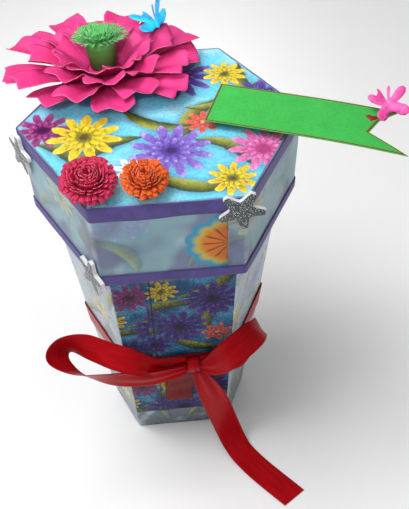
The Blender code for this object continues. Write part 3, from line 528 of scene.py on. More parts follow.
def petal_paper(colour):
    deep = (colour[0] * 0.92, colour[1] * 0.66, colour[2] * 0.76)
    return mottled(
        "petal_paper", (deep, colour), (11.0, 3.0), (0.3, 0.62),
        (0.6, 3.0, 0.06, 1.0), roughness=0.55, specular_ior_level=0.3,
    )


def grey_board():
    finish = Finish("grey_board", roughness=0.9)
    fibres = finish.noise(finish.stretched(finish.object_place(), z=0.35), 0.8, 3.0)
    finish.paint(finish.mix(rgb(150, 140, 122), rgb(196, 188, 170), fibres))
    finish.bump(fibres, 0.08)
    return finish.material


def cut_paper(name, colour, roughness, dark):
    """Plain craft paper: soft mottling and a fine tooth."""
    finish = Finish(name, roughness=roughness, specular_ior_level=0.35)
    place = finish.object_place()
    mottle = finish.noise(place, 9.0, 3.0) * 0.4 + finish.noise(place, 1.1, 3.0) * 0.6
    finish.paint(finish.mix(dimmed(colour, 1 - dark), colour, finish.step(mottle, 0.35, 0.65)))
    finish.bump(finish.noise(place, 0.5), 0.05)
    return finish.material


def red_satin(name, colour, width):
    """Woven satin: fine crosswise ribs, darker woven edges and a soft lengthwise shine."""
    finish = Finish(name, specular_ior_level=0.10, specular_tint=(1.0, 0.45, 0.45, 1.0))
    place = finish.add("UVMap").outputs[0]
    along, across = finish.parts(place)[:2]
    cloud = finish.noise(finish.stretched(place, x=0.12), 2.4)
    dark = dimmed(colour, 0.72)
    satin = finish.mix(dark, colour, finish.step(cloud, 0.25, 0.75))
    half = width / MM / 2
    edge = finish.step(abs(across), half - 0.8, half - 0.4)
    finish.paint(finish.mix(satin, dark, edge * 0.8))
    ribs = finish.math("SINE", along * (math.tau / 0.42)) * 0.5 + 0.5
    finish.bump(ribs * (1 - edge * 0.5) + edge, 0.02)
    finish.feed("Roughness", cloud * 0.08 + 0.28)
    return finish.material


def silver_glitter():
    """Glitter glued to foam: tiny tilted flakes, a few of which are painted white as glints."""
    finish = Finish("silver_glitter", specular_ior_level=0.7)
    flake, tilt = finish.cells(finish.object_place(), 0.36)
    grey = finish.mix(rgb(36, 42, 44), rgb(116, 122, 122), flake)
    # Painted highlight: the most tilted flakes are painted white, as glints
    finish.paint(finish.mix(grey, (1.0, 1.0, 1.0), finish.step(tilt, 0.94, 0.95)))
    finish.feed("Metallic", finish.step(tilt, 0.86, 0.5) * 0.7)
    finish.feed("Roughness", tilt * 0.35 + 0.15)
    finish.bump(flake, 0.3)
    return finish.material


def wing_papers(name, near, far, veins, edge):
    """A punched wing in soft blotches of two colours, with a few faint veins, and its cut edge."""
    finish = Finish(name + "_wing", roughness=0.45, specular_ior_level=0.4)
    place = finish.object_place()
    cloud = finish.noise(place, 6.0)
    colour = finish.mix(near, far, finish.step(cloud, 0.35, 0.65))
    vein = finish.step(abs(finish.noise(place, 4.0, 1.0) - 0.5), 0.02, 0.006)
    finish.paint(finish.mix(colour, veins, vein * 0.5))
    finish.bump(cloud, 0.1)
    return [finish.material, pale_edge(name + "_edge", edge)]


def centre_paper(fringe, roll):
    """Bright fringe above, and a darker olive green on the roll's outside below it."""
    finish = Finish("centre_paper", roughness=0.75, specular_ior_level=0.3)
    place = finish.object_place()
    cloud = finish.noise(place, 3.0, 3.0)
    bright = finish.mix(dimmed(fringe, 0.7), fringe, finish.step(cloud, 0.3, 0.7))
    above = finish.step(finish.parts(place)[2], 297.0, 300.0)
    finish.paint(finish.mix(roll, bright, above))
    finish.bump(cloud, 0.1)
    return finish.material


class GiftBoxPapers(PropertyGroup):
    corner_radius: FloatProperty(
        name="Corner radius", description="How softly the papers turn the box's corners",
        default=1.6 * MM, min=0.2 * MM, unit="LENGTH")
    ripple: FloatProperty(
        name="Ripple", description="How far the glued papers lift and dip",
        default=0.16 * MM, min=0.0, unit="LENGTH")
    tape_colour: FloatVectorProperty(
        name="Tape", description="Colour of the trim tape",
        default=rgb(81, 66, 138), min=0.0, max=1.0, size=3, subtype="COLOR")


class GiftBoxBow(PropertyGroup):
    ribbon_width: FloatProperty(
        name="Ribbon width", description="Width of the satin ribbon",
        default=20 * MM, min=10 * MM, unit="LENGTH")
    ribbon_thickness: FloatProperty(
        name="Ribbon thickness", description="Thickness of the satin ribbon",
        default=0.4 * MM, min=0.1 * MM, unit="LENGTH")
    satin_colour: FloatVectorProperty(
        name="Satin", description="Colour of the ribbon",
        default=rgb(178, 14, 24), min=0.0, max=1.0, size=3, subtype="COLOR")


class GiftBoxFlower(PropertyGroup):
    petals: IntProperty(
        name="Petals", description="Petals in each layer of the big flower",
        default=8, min=5, max=16)
    petal_width: FloatProperty(
        name="Petal width", description="Widest part of a petal",
        default=25 * MM, min=5 * MM, unit="LENGTH")
    paper: FloatProperty(
        name="Paper", description="Thickness of the petal paper",
        default=0.3 * MM, min=0.05 * MM, unit="LENGTH")
    petal_colour: FloatVectorProperty(
        name="Petals", description="Colour of the big flower's petals",
        default=rgb(208, 54, 126), min=0.0, max=1.0, size=3, subtype="COLOR")
    centre_colour: FloatVectorProperty(
        name="Centre", description="Colour of the big flower's fringed centre",
        default=rgb(90, 186, 96), min=0.0, max=1.0, size=3, subtype="COLOR")


class GiftBoxQuills(PropertyGroup):
    tab_width: FloatProperty(
        name="Tab width", description="Width of one snipped tab of the wound strip",
        default=2.3 * MM, min=0.5 * MM, unit="LENGTH")
    pitch: FloatProperty(
        name="Pitch", description="Distance from one turn of the strip to the next",
        default=0.75 * MM, min=0.4 * MM, unit="LENGTH")
    crimson: FloatVectorProperty(
        name="Crimson", description="Colour of the left quilled flower",
        default=rgb(214, 40, 88), min=0.0, max=1.0, size=3, subtype="COLOR")
    orange: FloatVectorProperty(
        name="Orange", description="Colour of the right quilled flower",
        default=rgb(234, 98, 24), min=0.0, max=1.0, size=3, subtype="COLOR")


class GiftBoxTrim(PropertyGroup):
    tag_length: FloatProperty(
        name="Tag length", description="Length of the tag to its longer tail",
        default=114 * MM, min=40 * MM, unit="LENGTH")
    tag_width: FloatProperty(
        name="Tag width", description="Width of the tag",
        default=38 * MM, min=10 * MM, unit="LENGTH")
    tag_colour: FloatVectorProperty(
        name="Tag", description="Colour of the tag",
        default=rgb(58, 178, 74), min=0.0, max=1.0, size=3, subtype="COLOR")
    star_radius: FloatProperty(
        name="Star radius", description="From a star's middle to its points",
        default=12.8 * MM, min=4 * MM, unit="LENGTH")


GROUPS = {
    "gift_box_papers": GiftBoxPapers,
    "gift_box_bow": GiftBoxBow,
    "gift_box_flower": GiftBoxFlower,
    "gift_box_quills": GiftBoxQuills,
    "gift_box_trim": GiftBoxTrim,
}


def finished_mesh(name, shape, finishes):
    mesh = bpy.data.meshes.new(name)
    shape.to_mesh(mesh)
    shape.free()
    for finish in finishes:
        mesh.materials.append(finish)
    return mesh


def add_object(name, data):
    item = bpy.data.objects.new(name, data)
    bpy.context.scene.collection.objects.link(item)
    return item


def add_piece(name, shape, finishes, body, node, smooth, replaces=True):
    """Turn a finished shape into a piece that rides on a body, in the slot of one solid."""
    mesh = finished_mesh(name, shape, finishes)
    mesh.shade_smooth()
    mesh.set_sharp_from_angle(angle=math.radians(smooth))
    piece = add_object(name, mesh)
    if replaces:
        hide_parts(node)
    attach(piece, body)
    return piece


def give_thickness(piece, thickness, offset=0.0, rim=0):
    """Thicken a sheet to both sides, or to one with an offset of -1.

    rim is how many slots on the material of its cut edge is.
    """
    sheet = piece.modifiers.new("sheet", "SOLIDIFY")
    sheet.thickness = thickness
    sheet.offset = offset
    sheet.use_even_offset = False
    sheet.material_offset_rim = rim


def repaint(nodes, finish):
    for node in nodes:
        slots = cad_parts[node].data.materials
        slots.clear()
        slots.append(finish)


def mapped_grid(shape, columns, rows, place, size=(1.0, 1.0)):
    """Lay a flat grid of cells, then put each point where place(along share, up share) says.

    The UV map keeps millimetres along and across, counted from the middle line.
    """
    layer = shape.loops.layers.uv.verify()
    made = bmesh.ops.create_grid(
        shape, x_segments=columns, y_segments=rows, size=0.5, calc_uvs=True)
    fresh = set(made["verts"])
    for face in shape.faces:
        if face.verts[0] in fresh:
            for loop in face.loops:
                along, up = loop[layer].uv
                loop[layer].uv = (along * size[0] / MM, (up - 0.5) * size[1] / MM)
    for vertex in made["verts"]:
        vertex.co = place(vertex.co.x + 0.5, vertex.co.y + 0.5)


def close_up(shape, reach=0.02 * MM):
    """Merge the points that meet, such as where a strip comes round to its start."""
    bmesh.ops.remove_doubles(shape, verts=shape.verts, dist=reach)


def turned_to(*angles):
    return Euler(angles).to_matrix().to_4x4()


def between(ends, share):
    return ends[0] + (ends[1] - ends[0]) * share


def crossed(first, second):
    return first.x * second.y - first.y * second.x


def hexagon(front, across, deep):
    """Corners left, front left, front right, right, back right, back left."""
    before = [Vector((-across, 0.0)), Vector((-front, -deep)), Vector((front, -deep))]
    return before + [-corner for corner in before]


def inset(corners, distances):
    """Move each side of a hexagon in by its own distance."""
    lines = []
    for side, distance in enumerate(distances):
        along = (corners[(side + 1) % 6] - corners[side]).normalized()
        lines.append((corners[side] + Vector((-along.y, along.x)) * distance, along))
    moved = []
    for corner, (other, across) in enumerate(lines):
        start, along = lines[corner - 1]
        moved.append(start + along * (crossed(other - start, across) / crossed(along, across)))
    return moved


def body_corners(height, distances=(0.0,) * 6):
    share = height / BODY_TOP
    both = zip(hexagon(*FOOT_HEXAGON), hexagon(*RIM_HEXAGON))
    return inset([low.lerp(high, share) for low, high in both], distances)


def lid_corners(distance=0.0):
    return inset(hexagon(LID_RADIUS / 2, LID_RADIUS, LID_RADIUS * HALF_ROOT3), [distance] * 6)


def rounded_walk(corners, radius, start_side, start_share, side_cells=7, corner_cells=4):
    """Points round a hexagon with softened corners, from a place on one side back to it."""
    arcs = []
    for corner, here in enumerate(corners):
        before = (corners[corner - 1] - here).normalized() * radius
        after = (corners[(corner + 1) % 6] - here).normalized() * radius
        arcs.append([
            here + before * (1 - step / corner_cells) ** 2 + after * (step / corner_cells) ** 2
            for step in range(corner_cells + 1)
        ])
    first = corners[start_side].lerp(corners[(start_side + 1) % 6], start_share)
    walk = [first]
    for turn in range(6):
        arc = arcs[(start_side + 1 + turn) % 6]
        began = walk[-1]
        walk += [began.lerp(arc[0], step / side_cells) for step in range(1, side_cells)]
        walk += arc
    return walk + [walk[-1].lerp(first, step / side_cells) for step in range(1, side_cells + 1)]


def open_seam(shape, first, foot, half_gap):
    """Move the edges that meet at a seam apart, near the seam's first point."""
    seam_reach = 40 * MM
    for vertex in shape.verts:
        near = (vertex.co.xy - first).length < seam_reach
        if near and len(vertex.link_edges) < 4 and vertex.co.z != foot:
            facing = Vector()
            for edge in vertex.link_edges:
                facing += edge.other_vert(vertex).co - vertex.co
            away = 1 if facing.x * half_gap.x + facing.y * half_gap.y > 0 else -1
            vertex.co.x += half_gap.x * away
            vertex.co.y += half_gap.y * away


def wrap_round(
    name, node, body, finish, corners_at, foot, head, rows, seam, thickness, papers, tape=False,
):
    """A sheet glued round the box or its lid, rippling a little between its edges.

    A tape is closed, ripples half as far, and its lower edge strays from level.
    """
    ripple = papers.ripple / 2 if tape else papers.ripple
    stray = 1.6 * MM if tape else 0.0
    ripple_size, stray_size = 21 * MM, 26 * MM
    heights = [foot + (head - foot) * row / rows for row in range(rows + 1)]
    walks = [rounded_walk(corners_at(level), papers.corner_radius, *seam) for level in heights]
    columns = len(walks[0]) - 1

    def place(along_share, up_share):
        row = round(up_share * rows)
        height, point = heights[row], walks[row][round(along_share * columns)]
        swell = noise.noise(Vector((point.x, point.y, height)) / ripple_size)
        out = point.normalized() * ripple * (swell * math.sin(up_share * math.pi) ** 0.5)
        wander = noise.noise(Vector((point.x, point.y, foot)) / stray_size)
        up = stray * (1 - up_share) * wander
        return Vector((point.x + out.x, point.y + out.y, height + up))

    shape = bmesh.new()
    mapped_grid(shape, columns, rows, place)
    if tape:
        close_up(shape)
    else:
        middle = corners_at((foot + head) / 2)
        along = (middle[(seam[0] + 1) % 6] - middle[seam[0]]).normalized()
        open_seam(shape, walks[0][0], foot, along * GAP / 2)
    give_thickness(add_piece(name, shape, [finish], body, node, 35), thickness, -1.0)


class GIFT_BOX_OT_stage(Operator):
    """Set the camera at the photograph's angle, with a pale floor and soft lights"""
    bl_idname = "gift_box.stage"
    bl_label = "Camera, floor and lights"

    def execute(self, context):
        scene = context.scene
        scene.view_settings.view_transform = "Standard"
        camera = bpy.data.cameras.new("camera")
        camera.lens = 49.5
        camera.clip_start = 0.02
        view = add_object("camera", camera)
        turn = Matrix.Rotation(math.radians(-4.67), 4, "Z")
        pitch = Matrix.Rotation(math.radians(90 - 47.09), 4, "X")
        roll = Matrix.Rotation(math.radians(-1.07), 4, "Z")
        view.matrix_world = Matrix.Translation((-0.0035, -0.3364, 0.5220)) @ turn @ pitch @ roll
        scene.camera = view

        shape = bmesh.new()
        bmesh.ops.create_grid(shape, x_segments=1, y_segments=1, size=3.0)
        paper = Finish("floor_paper", roughness=0.9, base_color=(0.92, 0.92, 0.92, 1.0))
        floor = add_object("floor", finished_mesh("floor", shape, [paper.material]))
        just_under = 0.05 * MM
        floor.location.z = -just_under

        # Each light's name, place, size, watts, target and spread in degrees
        box_middle = (0.0, 0.0, 0.18)
        lights = (
            ("key", (-0.50, -0.05, 1.45), 0.8, 18.0, box_middle, 180.0),
            ("fill", (0.9, -0.8, 1.2), 1.4, 1.6, box_middle, 180.0),
            ("front", (-0.7, -1.3, 0.8), 1.2, 1.4, box_middle, 180.0),
            ("flower", (-0.12, -0.58, 0.88), 0.2, 0.12, (-0.04, 0.10, 0.31), 22.0),
        )
        for name, place, size, watts, target, spread in lights:
            lamp = bpy.data.lights.new(name, "AREA")
            lamp.size = size
            lamp.energy = watts
            lamp.spread = math.radians(spread)
            item = add_object(name, lamp)
            item.location = place
            aim = Vector(target) - Vector(place)
            item.rotation_euler = aim.to_track_quat("-Z", "Y").to_euler()
        scene.world = bpy.data.worlds.new("studio")
        scene.world.use_nodes = True
        background = scene.world.node_tree.nodes["Background"].inputs
        background["Color"].default_value = (1.0, 1.0, 1.0, 1.0)
        background["Strength"].default_value = 0.37
        return {"FINISHED"}


class GIFT_BOX_OT_board(Operator):
    """Give the card panels their grey board"""
    bl_idname = "gift_box.board"
    bl_label = "Card panels"

    def execute(self, context):
        starts = ("wall_", "skirt_", "base", "lid_panel")
        named = [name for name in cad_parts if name.startswith(starts)]
        repaint([name for name in named if not name.endswith("_paper")], grey_board())
        return {"FINISHED"}


class GIFT_BOX_OT_papers(Operator):
    """Wrap the body and the lid in printed paper and trim tape"""
    bl_idname = "gift_box.papers"
    bl_label = "Papers and tape"

    def execute(self, context):
        papers = context.scene.gift_box_papers
        wrap_round(
            "wall_print", "wall_paper", "body", wall_print_paper(), body_corners,
            GAP, BODY_TOP, 40, (BACK, 0.5), PAPER * 0.7, papers,
        )
        seam_share = (SKIRT_SEAM + LID_RADIUS / 2) / LID_RADIUS
        wrap_round(
            "skirt_print", "skirt_paper", "lid", skirt_print_paper(),
            lambda height: lid_corners(SKIRT_PAPER_IN),
            SKIRT_FOOT, LID_TOP, 16, (FRONT, seam_share), PAPER * 0.8, papers,
        )
        tape = purple_tape(tuple(papers.tape_colour))
        for edge in ("upper", "lower"):
            low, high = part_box("trim_tape_" + edge)
            wrap_round(
                "tape_" + edge, "trim_tape_" + edge, "lid", tape, lambda height: lid_corners(),
                low.z, high.z, 5, (BACK, 0.5), PAPER * 0.8, papers, tape=True,
            )
        repaint(["lid_cover_sheet"], lid_cover_paper())
        lap = (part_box("front_sheet_left")[1].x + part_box("front_sheet_right")[0].x) / 2 / MM
        for name, shift in (("front_sheet_left", (34.0, 30.0)), ("front_sheet_right", (0.0, 0.0))):
            repaint([name], front_sheet_paper(name, shift, lap))
        return {"FINISHED"}


def smooth_path(values, steps):
    """Catmull-Rom curve through rows of numbers, as a list of rows."""
    made = []
    last = len(values) - 1
    for span in range(last):
        before, start = values[max(span - 1, 0)], values[span]
        end, after = values[span + 1], values[min(span + 2, last)]
        for step in range(steps):
            t = step / steps
            made.append([
                0.5 * (2 * b + (c - a) * t + (2 * a - 5 * b + 4 * c - d) * t ** 2
                       + (3 * b - a - 3 * c + d) * t ** 3)
                for a, b, c, d in zip(before, start, end, after)
            ])
    return made + [list(values[last])]


def ribbon_strip(name, node, stations, finish, bow):
    """A strip of ribbon through (centre, direction across, width share, gather share) stations."""
    fold_deep = 0.95 * MM
    sag_deep = 0.35 * MM
    steps, across_cells = 8, 20
    path = smooth_path([[*c, *a, w, g] for c, a, w, g in stations], steps)
    centres = [Vector(row[:3]) for row in path]
    length = sum((b - a).length for a, b in zip(centres, centres[1:]))
    last = len(path) - 1
    frames = []
    for step, row in enumerate(path):
        across = Vector(row[3:6]).normalized()
        run = centres[min(step + 1, last)] - centres[max(step - 1, 0)]
        frames.append((centres[step], across, run.cross(across).normalized(), *row[6:]))

    def place(along_share, up_share):
        centre, across, face, width, gather = frames[round(along_share * last)]
        t = up_share * 2 - 1
        fold = fold_deep * gather * math.cos(math.tau * t)
        sag = sag_deep * (1 - gather) * math.sin(along_share * 23.0 + t * 1.3) * (1 - t * t)
        return centre + across * bow.ribbon_width / 2 * width * t + face * (fold + sag)

    shape = bmesh.new()
    mapped_grid(shape, last, across_cells, place, (length, bow.ribbon_width))
    piece = add_piece(name, shape, [finish], "body", node, 60)
    give_thickness(piece, bow.ribbon_thickness)


# Stations of the bow: a place, the direction across the ribbon, its width share and gather share.
# A loop's places are shares of the bow's reach from the knot's middle.
LOOPS = {
    "left": (
        ((-0.048, 0.022, 0.000), (0.00, 0.04, 1.00), 0.50, 0.9),
        ((-0.230, -0.010, 0.000), (-0.08, 0.22, 0.97), 0.86, 0.4),
        ((-0.400, -0.045, 0.150), (-0.17, 0.62, 0.76), 1.00, 0.2),
        ((-0.560, 0.000, 0.190), (-0.10, 0.70, 0.70), 1.00, 0.0),
        ((-0.700, 0.070, 0.200), (-0.10, 0.52, 0.84), 1.00, 0.0),
        ((-0.850, 0.100, 0.210), (-0.34, -0.05, 0.94), 1.00, 0.0),
        ((-0.915, 0.065, 0.180), (-0.62, -0.35, 0.70), 1.00, 0.0),
        ((-0.900, 0.010, 0.130), (-0.60, -0.48, 0.64), 1.00, 0.0),
        ((-0.790, -0.040, 0.060), (-0.20, -0.55, 0.81), 1.00, 0.0),
        ((-0.620, -0.070, 0.020), (0.00, -0.26, 0.96), 1.00, 0.0),
        ((-0.470, -0.070, -0.010), (-0.04, -0.08, 1.00), 1.00, 0.2),
        ((-0.290, -0.055, -0.045), (-0.08, -0.08, 0.99), 0.88, 0.4),
        ((-0.048, -0.022, -0.020), (0.00, 0.00, 1.00), 0.50, 0.9),
    ),
    "right": (
        ((0.050, -0.022, 0.000), (0.00, 0.05, 1.00), 0.55, 0.9),
        ((0.150, -0.045, 0.050), (-0.38, 0.40, 0.83), 0.95, 0.4),
        ((0.260, -0.060, 0.190), (-0.45, 0.60, 0.66), 1.00, 0.1),
        ((0.410, 0.050, 0.210), (-0.62, 0.45, 0.64), 1.00, 0.0),
        ((0.470, 0.130, 0.180), (-0.60, 0.10, 0.79), 1.00, 0.0),
        ((0.490, 0.190, 0.110), (-0.35, 0.15, 0.92), 1.00, 0.0),
        ((0.430, 0.150, 0.040), (-0.20, 0.25, 0.95), 1.00, 0.0),
        ((0.330, 0.045, 0.000), (-0.15, 0.28, 0.95), 1.00, 0.1),
        ((0.200, 0.010, -0.020), (-0.05, 0.18, 0.98), 0.86, 0.4),
        ((0.050, 0.022, 0.000), (0.00, 0.04, 1.00), 0.55, 0.9),
    ),
}
# A station of the long tail starts with shares of that reach to the right and forward, and the
# share of the height that is left. The short tail has no share forward and hangs straight down.
LONG_TAIL = (
    (0.035, 0.005, 1.00, (1.00, 0.00, 0.00), 0.42, 1.0),
    (0.085, 0.020, 0.85, (0.97, 0.02, 0.20), 0.80, 0.6),
    (0.150, 0.030, 0.63, (0.97, 0.05, 0.22), 1.00, 0.1),
    (0.205, 0.022, 0.40, (0.96, 0.12, 0.22), 1.00, 0.0),
    (0.255, 0.020, 0.19, (0.93, 0.28, 0.20), 1.00, 0.0),
    (0.300, 0.055, 0.06, (0.86, 0.45, 0.08), 1.00, 0.0),
    (0.355, 0.140, 0.01, (0.80, 0.60, 0.00), 1.00, 0.0),
    (0.455, 0.270, 0.00, (0.76, 0.65, 0.00), 1.00, 0.0),
    (0.570, 0.400, 0.00, (0.74, 0.67, 0.00), 1.00, 0.0),
    (0.705, 0.545, 0.00, (0.84, 0.54, 0.00), 1.00, 0.0),
)
SHORT_TAIL = (
    (-0.010, 1.00, 0.50, 1.0), (-0.050, 0.84, 0.80, 0.5), (-0.090, 0.60, 1.00, 0.1),
    (-0.110, 0.30, 1.00, 0.0), (-0.110, 0.00, 1.00, 0.0),
)


class GIFT_BOX_OT_bow(Operator):
    """Tie the satin ribbon round the body: band, knot, two loops and two tails"""
    bl_idname = "gift_box.bow"
    bl_label = "Satin bow"

    reach = 100 * MM

    def execute(self, context):
        bow = context.scene.gift_box_bow
        red = tuple(bow.satin_colour)
        satin = red_satin("red_satin", red, bow.ribbon_width)
        # A darker copy of the satin: painted shade for the short tail, which hangs under the bow
        satin_in_painted_shade = red_satin("red_satin_painted_shade", dimmed(red, 0.45), bow.ribbon_width)
        low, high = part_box("bow_knot")
        middle = (low + high) / 2
        # Half sizes of the knot as shares of its solid's
        shares = zip(low, high, (0.40, 0.46, 0.42))
        self.band(bow, satin)
        self.knot(satin, middle, Vector([(far - near) * share for near, far, share in shares]))
        for side, table in LOOPS.items():
            stations = [(middle + Vector(place) * self.reach, *rest) for place, *rest in table]
            ribbon_strip("satin_loop_" + side, "bow_loop_" + side, stations, satin, bow)
        self.tails(bow, satin, satin_in_painted_shade, middle, low.z - GAP)
        return {"FINISHED"}

    def band(self, bow, satin):
        """One turn round the body, a little off its corners, higher at the back and the right."""
        middle = 109.5 * MM
        rise_right, rise_back = 0.040, 0.067
        cells = 9
        stands = [-0.6 * MM - bow.ribbon_thickness] * 6
        stands[FRONT] = -(LAP_OUT + GAP) - bow.ribbon_thickness
        ripple_deep, ripple_size, body_half = 0.12 * MM, 14 * MM, 0.06

        def height(point, up_share):
            up = bow.ribbon_width * (up_share - 0.5)
            return middle + rise_right * point.x + rise_back * point.y + up

        rows = []
        for row in range(cells + 1):
            up = row / cells
            levels = [height(corner, up) for corner in body_corners(middle)]
            corners = [body_corners(level, stands)[side] for side, level in enumerate(levels)]
            walk = rounded_walk(corners, 1.2 * MM, BACK, 0.5)
            rows.append([Vector((point.x, point.y, height(point, up))) for point in walk])
        spans = len(rows[0]) - 1
        length = sum((a - b).length for a, b in zip(rows[0], rows[0][1:]))

        def place(along_share, up_share):
            point = rows[round(up_share * cells)][round(along_share * spans)]
            grown = 1 + ripple_deep * noise.noise(point / ripple_size) / body_half
            return Vector((point.x * grown, point.y * grown, point.z))

        shape = bmesh.new()
        mapped_grid(shape, spans, cells, place, (length, bow.ribbon_width))
        close_up(shape)
        piece = add_piece("satin_band", shape, [satin], "body", "ribbon_band", 40)
        give_thickness(piece, bow.ribbon_thickness, -1.0)

    def knot(self, satin, middle, half):
        """A short barrel of ribbon with the folds of its wrap running round it."""
        along_cells, round_cells = 22, 40

        def place(along_share, round_share):
            angle = math.tau * round_share
            t = 2 * along_share - 1
            belly = 0.70 + 0.27 * math.cos(t * math.pi * 0.5)
            pleat = 0.050 * math.cos(t * 9.0 + 0.9 * math.sin(angle))
            pleat += 0.022 * math.cos(t * 19.0 + 1.0)
            size = min(belly + pleat, 0.985)
            ends = 1 - 0.5 * max(abs(t) - 0.9, 0.0) / 0.1
            return Vector((
                middle.x + half.x * t,
                middle.y + half.y * size * ends * math.cos(angle),
                middle.z + half.z * size * ends * math.sin(angle),
            ))

        shape = bmesh.new()
        mapped_grid(shape, along_cells, round_cells, place, (half.x * 2, half.z * 6))
        close_up(shape, 0.01 * MM)
        rims = [edge for edge in shape.edges if edge.is_boundary]
        bmesh.ops.holes_fill(shape, edges=rims, sides=0)
        bmesh.ops.recalc_face_normals(shape, faces=shape.faces)
        add_piece("satin_knot", shape, [satin], "body", "bow_knot", 55)

    def tails(self, bow, satin, satin_in_painted_shade, middle, under):
        """The long tail runs out on to the floor, and the short one lies against the front, in
        satin darkened as painted shade.
        """
        ground = 0.85 * MM
        stations = []
        for right, forward, up, *rest in LONG_TAIL:
            spot = (
                middle.x + right * self.reach, middle.y - forward * self.reach,
                ground + up * (under - ground),
            )
            stations.append((Vector(spot), *rest))
        ribbon_strip("satin_tail_long", "ribbon_tail_long", stations, satin, bow)

        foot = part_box("ribbon_tail_short")[0].z
        stations = []
        for right, up, width, gather in SHORT_TAIL:
            height = foot + up * (under - foot)
            leans_out = 5.3 * MM * up ** 3
            stand = LAP_OUT + 0.75 * MM + leans_out
            face = body_corners(height)[FRONT].y - stand
            spot = Vector((middle.x + right * self.reach, face, height))
            stations.append((spot, (1, 0, 0), width, gather))
        ribbon_strip("satin_tail_short", "ribbon_tail_short", stations, satin_in_painted_shade, bow)


PETAL_ROOT = 9.5 * MM
FLOWER_LEAN = math.radians(3.0)
FLOWER_PLACE = (
    Matrix.Translation((-0.387 * LID_RADIUS, 0.589 * LID_RADIUS, LID_TOP))
    @ turned_to(-FLOWER_LEAN, 0.0, 0.0)
)


class GIFT_BOX_OT_flower(Operator):
    """Build the big paper flower: four layers of creased petals round a fringed green centre"""
    bl_idname = "gift_box.flower"
    bl_label = "Big paper flower"

    # Each layer's name, petal length, slope, crease depth, turn in petals and seed
    layers = (
        ("lower", 64 * MM, 0.125, 0.38, 0.10, 21),
        ("upper", 60 * MM, 0.215, 0.44, 0.60, 22),
        ("middle", 44 * MM, 0.40, 0.66, 0.12, 23),
        ("inner", 30 * MM, 0.62, 0.80, 0.62, 24),
    )

    def execute(self, context):
        flower = context.scene.gift_box_flower
        colour = tuple(flower.petal_colour)
        finishes = [petal_paper(colour), pale_edge("petal_edge", colour)]
        for number, row in enumerate(self.layers):
            self.layer(flower, finishes, self.layer_height(number), *row)

        # The fringed centre leans back a little
        green = tuple(flower.centre_colour)
        radius = 9.8 * MM
        lean = math.radians(7.0)
        seat = self.layer_height(3) + 0.5 * MM + radius * math.sin(lean)
        tilt = turned_to(-lean, math.radians(-3.0), 0.0)
        fringed_roll(
            "fringed_centre", "flower_centre",
            FLOWER_PLACE @ Matrix.Translation((0, 0, seat)) @ tilt,
            [centre_paper(green, rgb(78, 140, 60)), pale_edge("fringe_edge", green)],
            radius, pitch=1.0 * MM, tab=1.0 * MM, thickness=0.24 * MM,
            uncut=(15.9 * MM, 15.0 * MM), fringe=(5.5 * MM, 10.2 * MM), lean=(6.0, 96.0),
            taper=0.84, seed=31,
        )
        return {"FINISHED"}

    def layer_height(self, layer):
        clear, apart = 0.5 * MM, 1.2 * MM
        return PETAL_ROOT * math.sin(FLOWER_LEAN) + clear + apart * layer

    def half_width(self, along, root, full):
        """A petal widens nearly to its end, which is cut almost straight across."""
        widest = 0.84
        end = max(along - widest, 0.0) / 0.16
        return between((root, full), min(along / widest, 1.0) ** 0.8) * (1 - 0.05 * end ** 2)

    def layer(self, flower, finishes, base, name, length, slope, fold, turn_share, seed):
        """Petals cut from one disc, each creased down its middle and bent up from the disc."""
        chance = random.Random(seed)
        shape = bmesh.new()
        pitch = math.tau / flower.petals
        root = PETAL_ROOT * math.sin(pitch / 2)
        pleat_deep = 3.4 * MM
        along_cells, across_cells = 18, 12
        for petal in range(flower.petals):
            middle = turn_share * math.tau / flower.petals + pitch * petal
            # The petals are shorter towards the front, and a little towards the back
            shorter = 0.11 * max(-math.sin(middle), 0.0) + 0.05 * max(math.sin(middle), 0.0)
            reach = length * (1 - shorter) * chance.uniform(0.93, 1.03)
            lift = slope * chance.uniform(0.95, 1.08)
            swerve = chance.uniform(-0.07, 0.07)
            lop = chance.uniform(-0.06, 0.06)
            crease_deep = fold * chance.uniform(0.72, 1.2)
            phase = petal * 2.4 + seed
            pleats = chance.uniform(-0.3, 0.3)

            def place(across_share, along):
                t = 2 * across_share - 1
                pleat = abs((1.5 * t + 0.5 + pleats) % 2 - 1)
                angle = middle + swerve * along
                out = Vector((math.cos(angle), math.sin(angle)))
                half = self.half_width(along, root, flower.petal_width / 2)
                cut = 0.02 * t ** 6 + lop * t + pleat_deep / length * pleat
                run = PETAL_ROOT + (reach - PETAL_ROOT) * along * (1 - cut * along ** 4)
                spot = out * run + Vector((-out.y, out.x)) * half * t
                rise = base + (run - PETAL_ROOT) * lift
                valley = crease_deep * half * min(along * 1.5, 1.0) * (1 - 0.5 * along ** 3)
                crease = math.sqrt(t * t + 0.0004) - 0.02
                ripple = 0.35 * MM * math.sin(along * 6.0 + phase) * abs(t) * along
                ripple += pleat_deep * (pleat - 0.5) * along ** 2
                return Vector((spot.x, spot.y, rise + valley * crease + ripple))

            mapped_grid(shape, across_cells, along_cells, place)
        # The uncut middle of the disc
        bmesh.ops.create_circle(
            shape, cap_ends=True, segments=48, radius=PETAL_ROOT * 1.01,
            matrix=Matrix.Translation((0, 0, base - 0.05 * MM)),
        )
        bmesh.ops.transform(shape, matrix=FLOWER_PLACE, verts=shape.verts)
        piece = add_piece("petals_" + name, shape, finishes, "lid", "flower_petals_" + name, 32)
        give_thickness(piece, flower.paper, 0.0, 1)


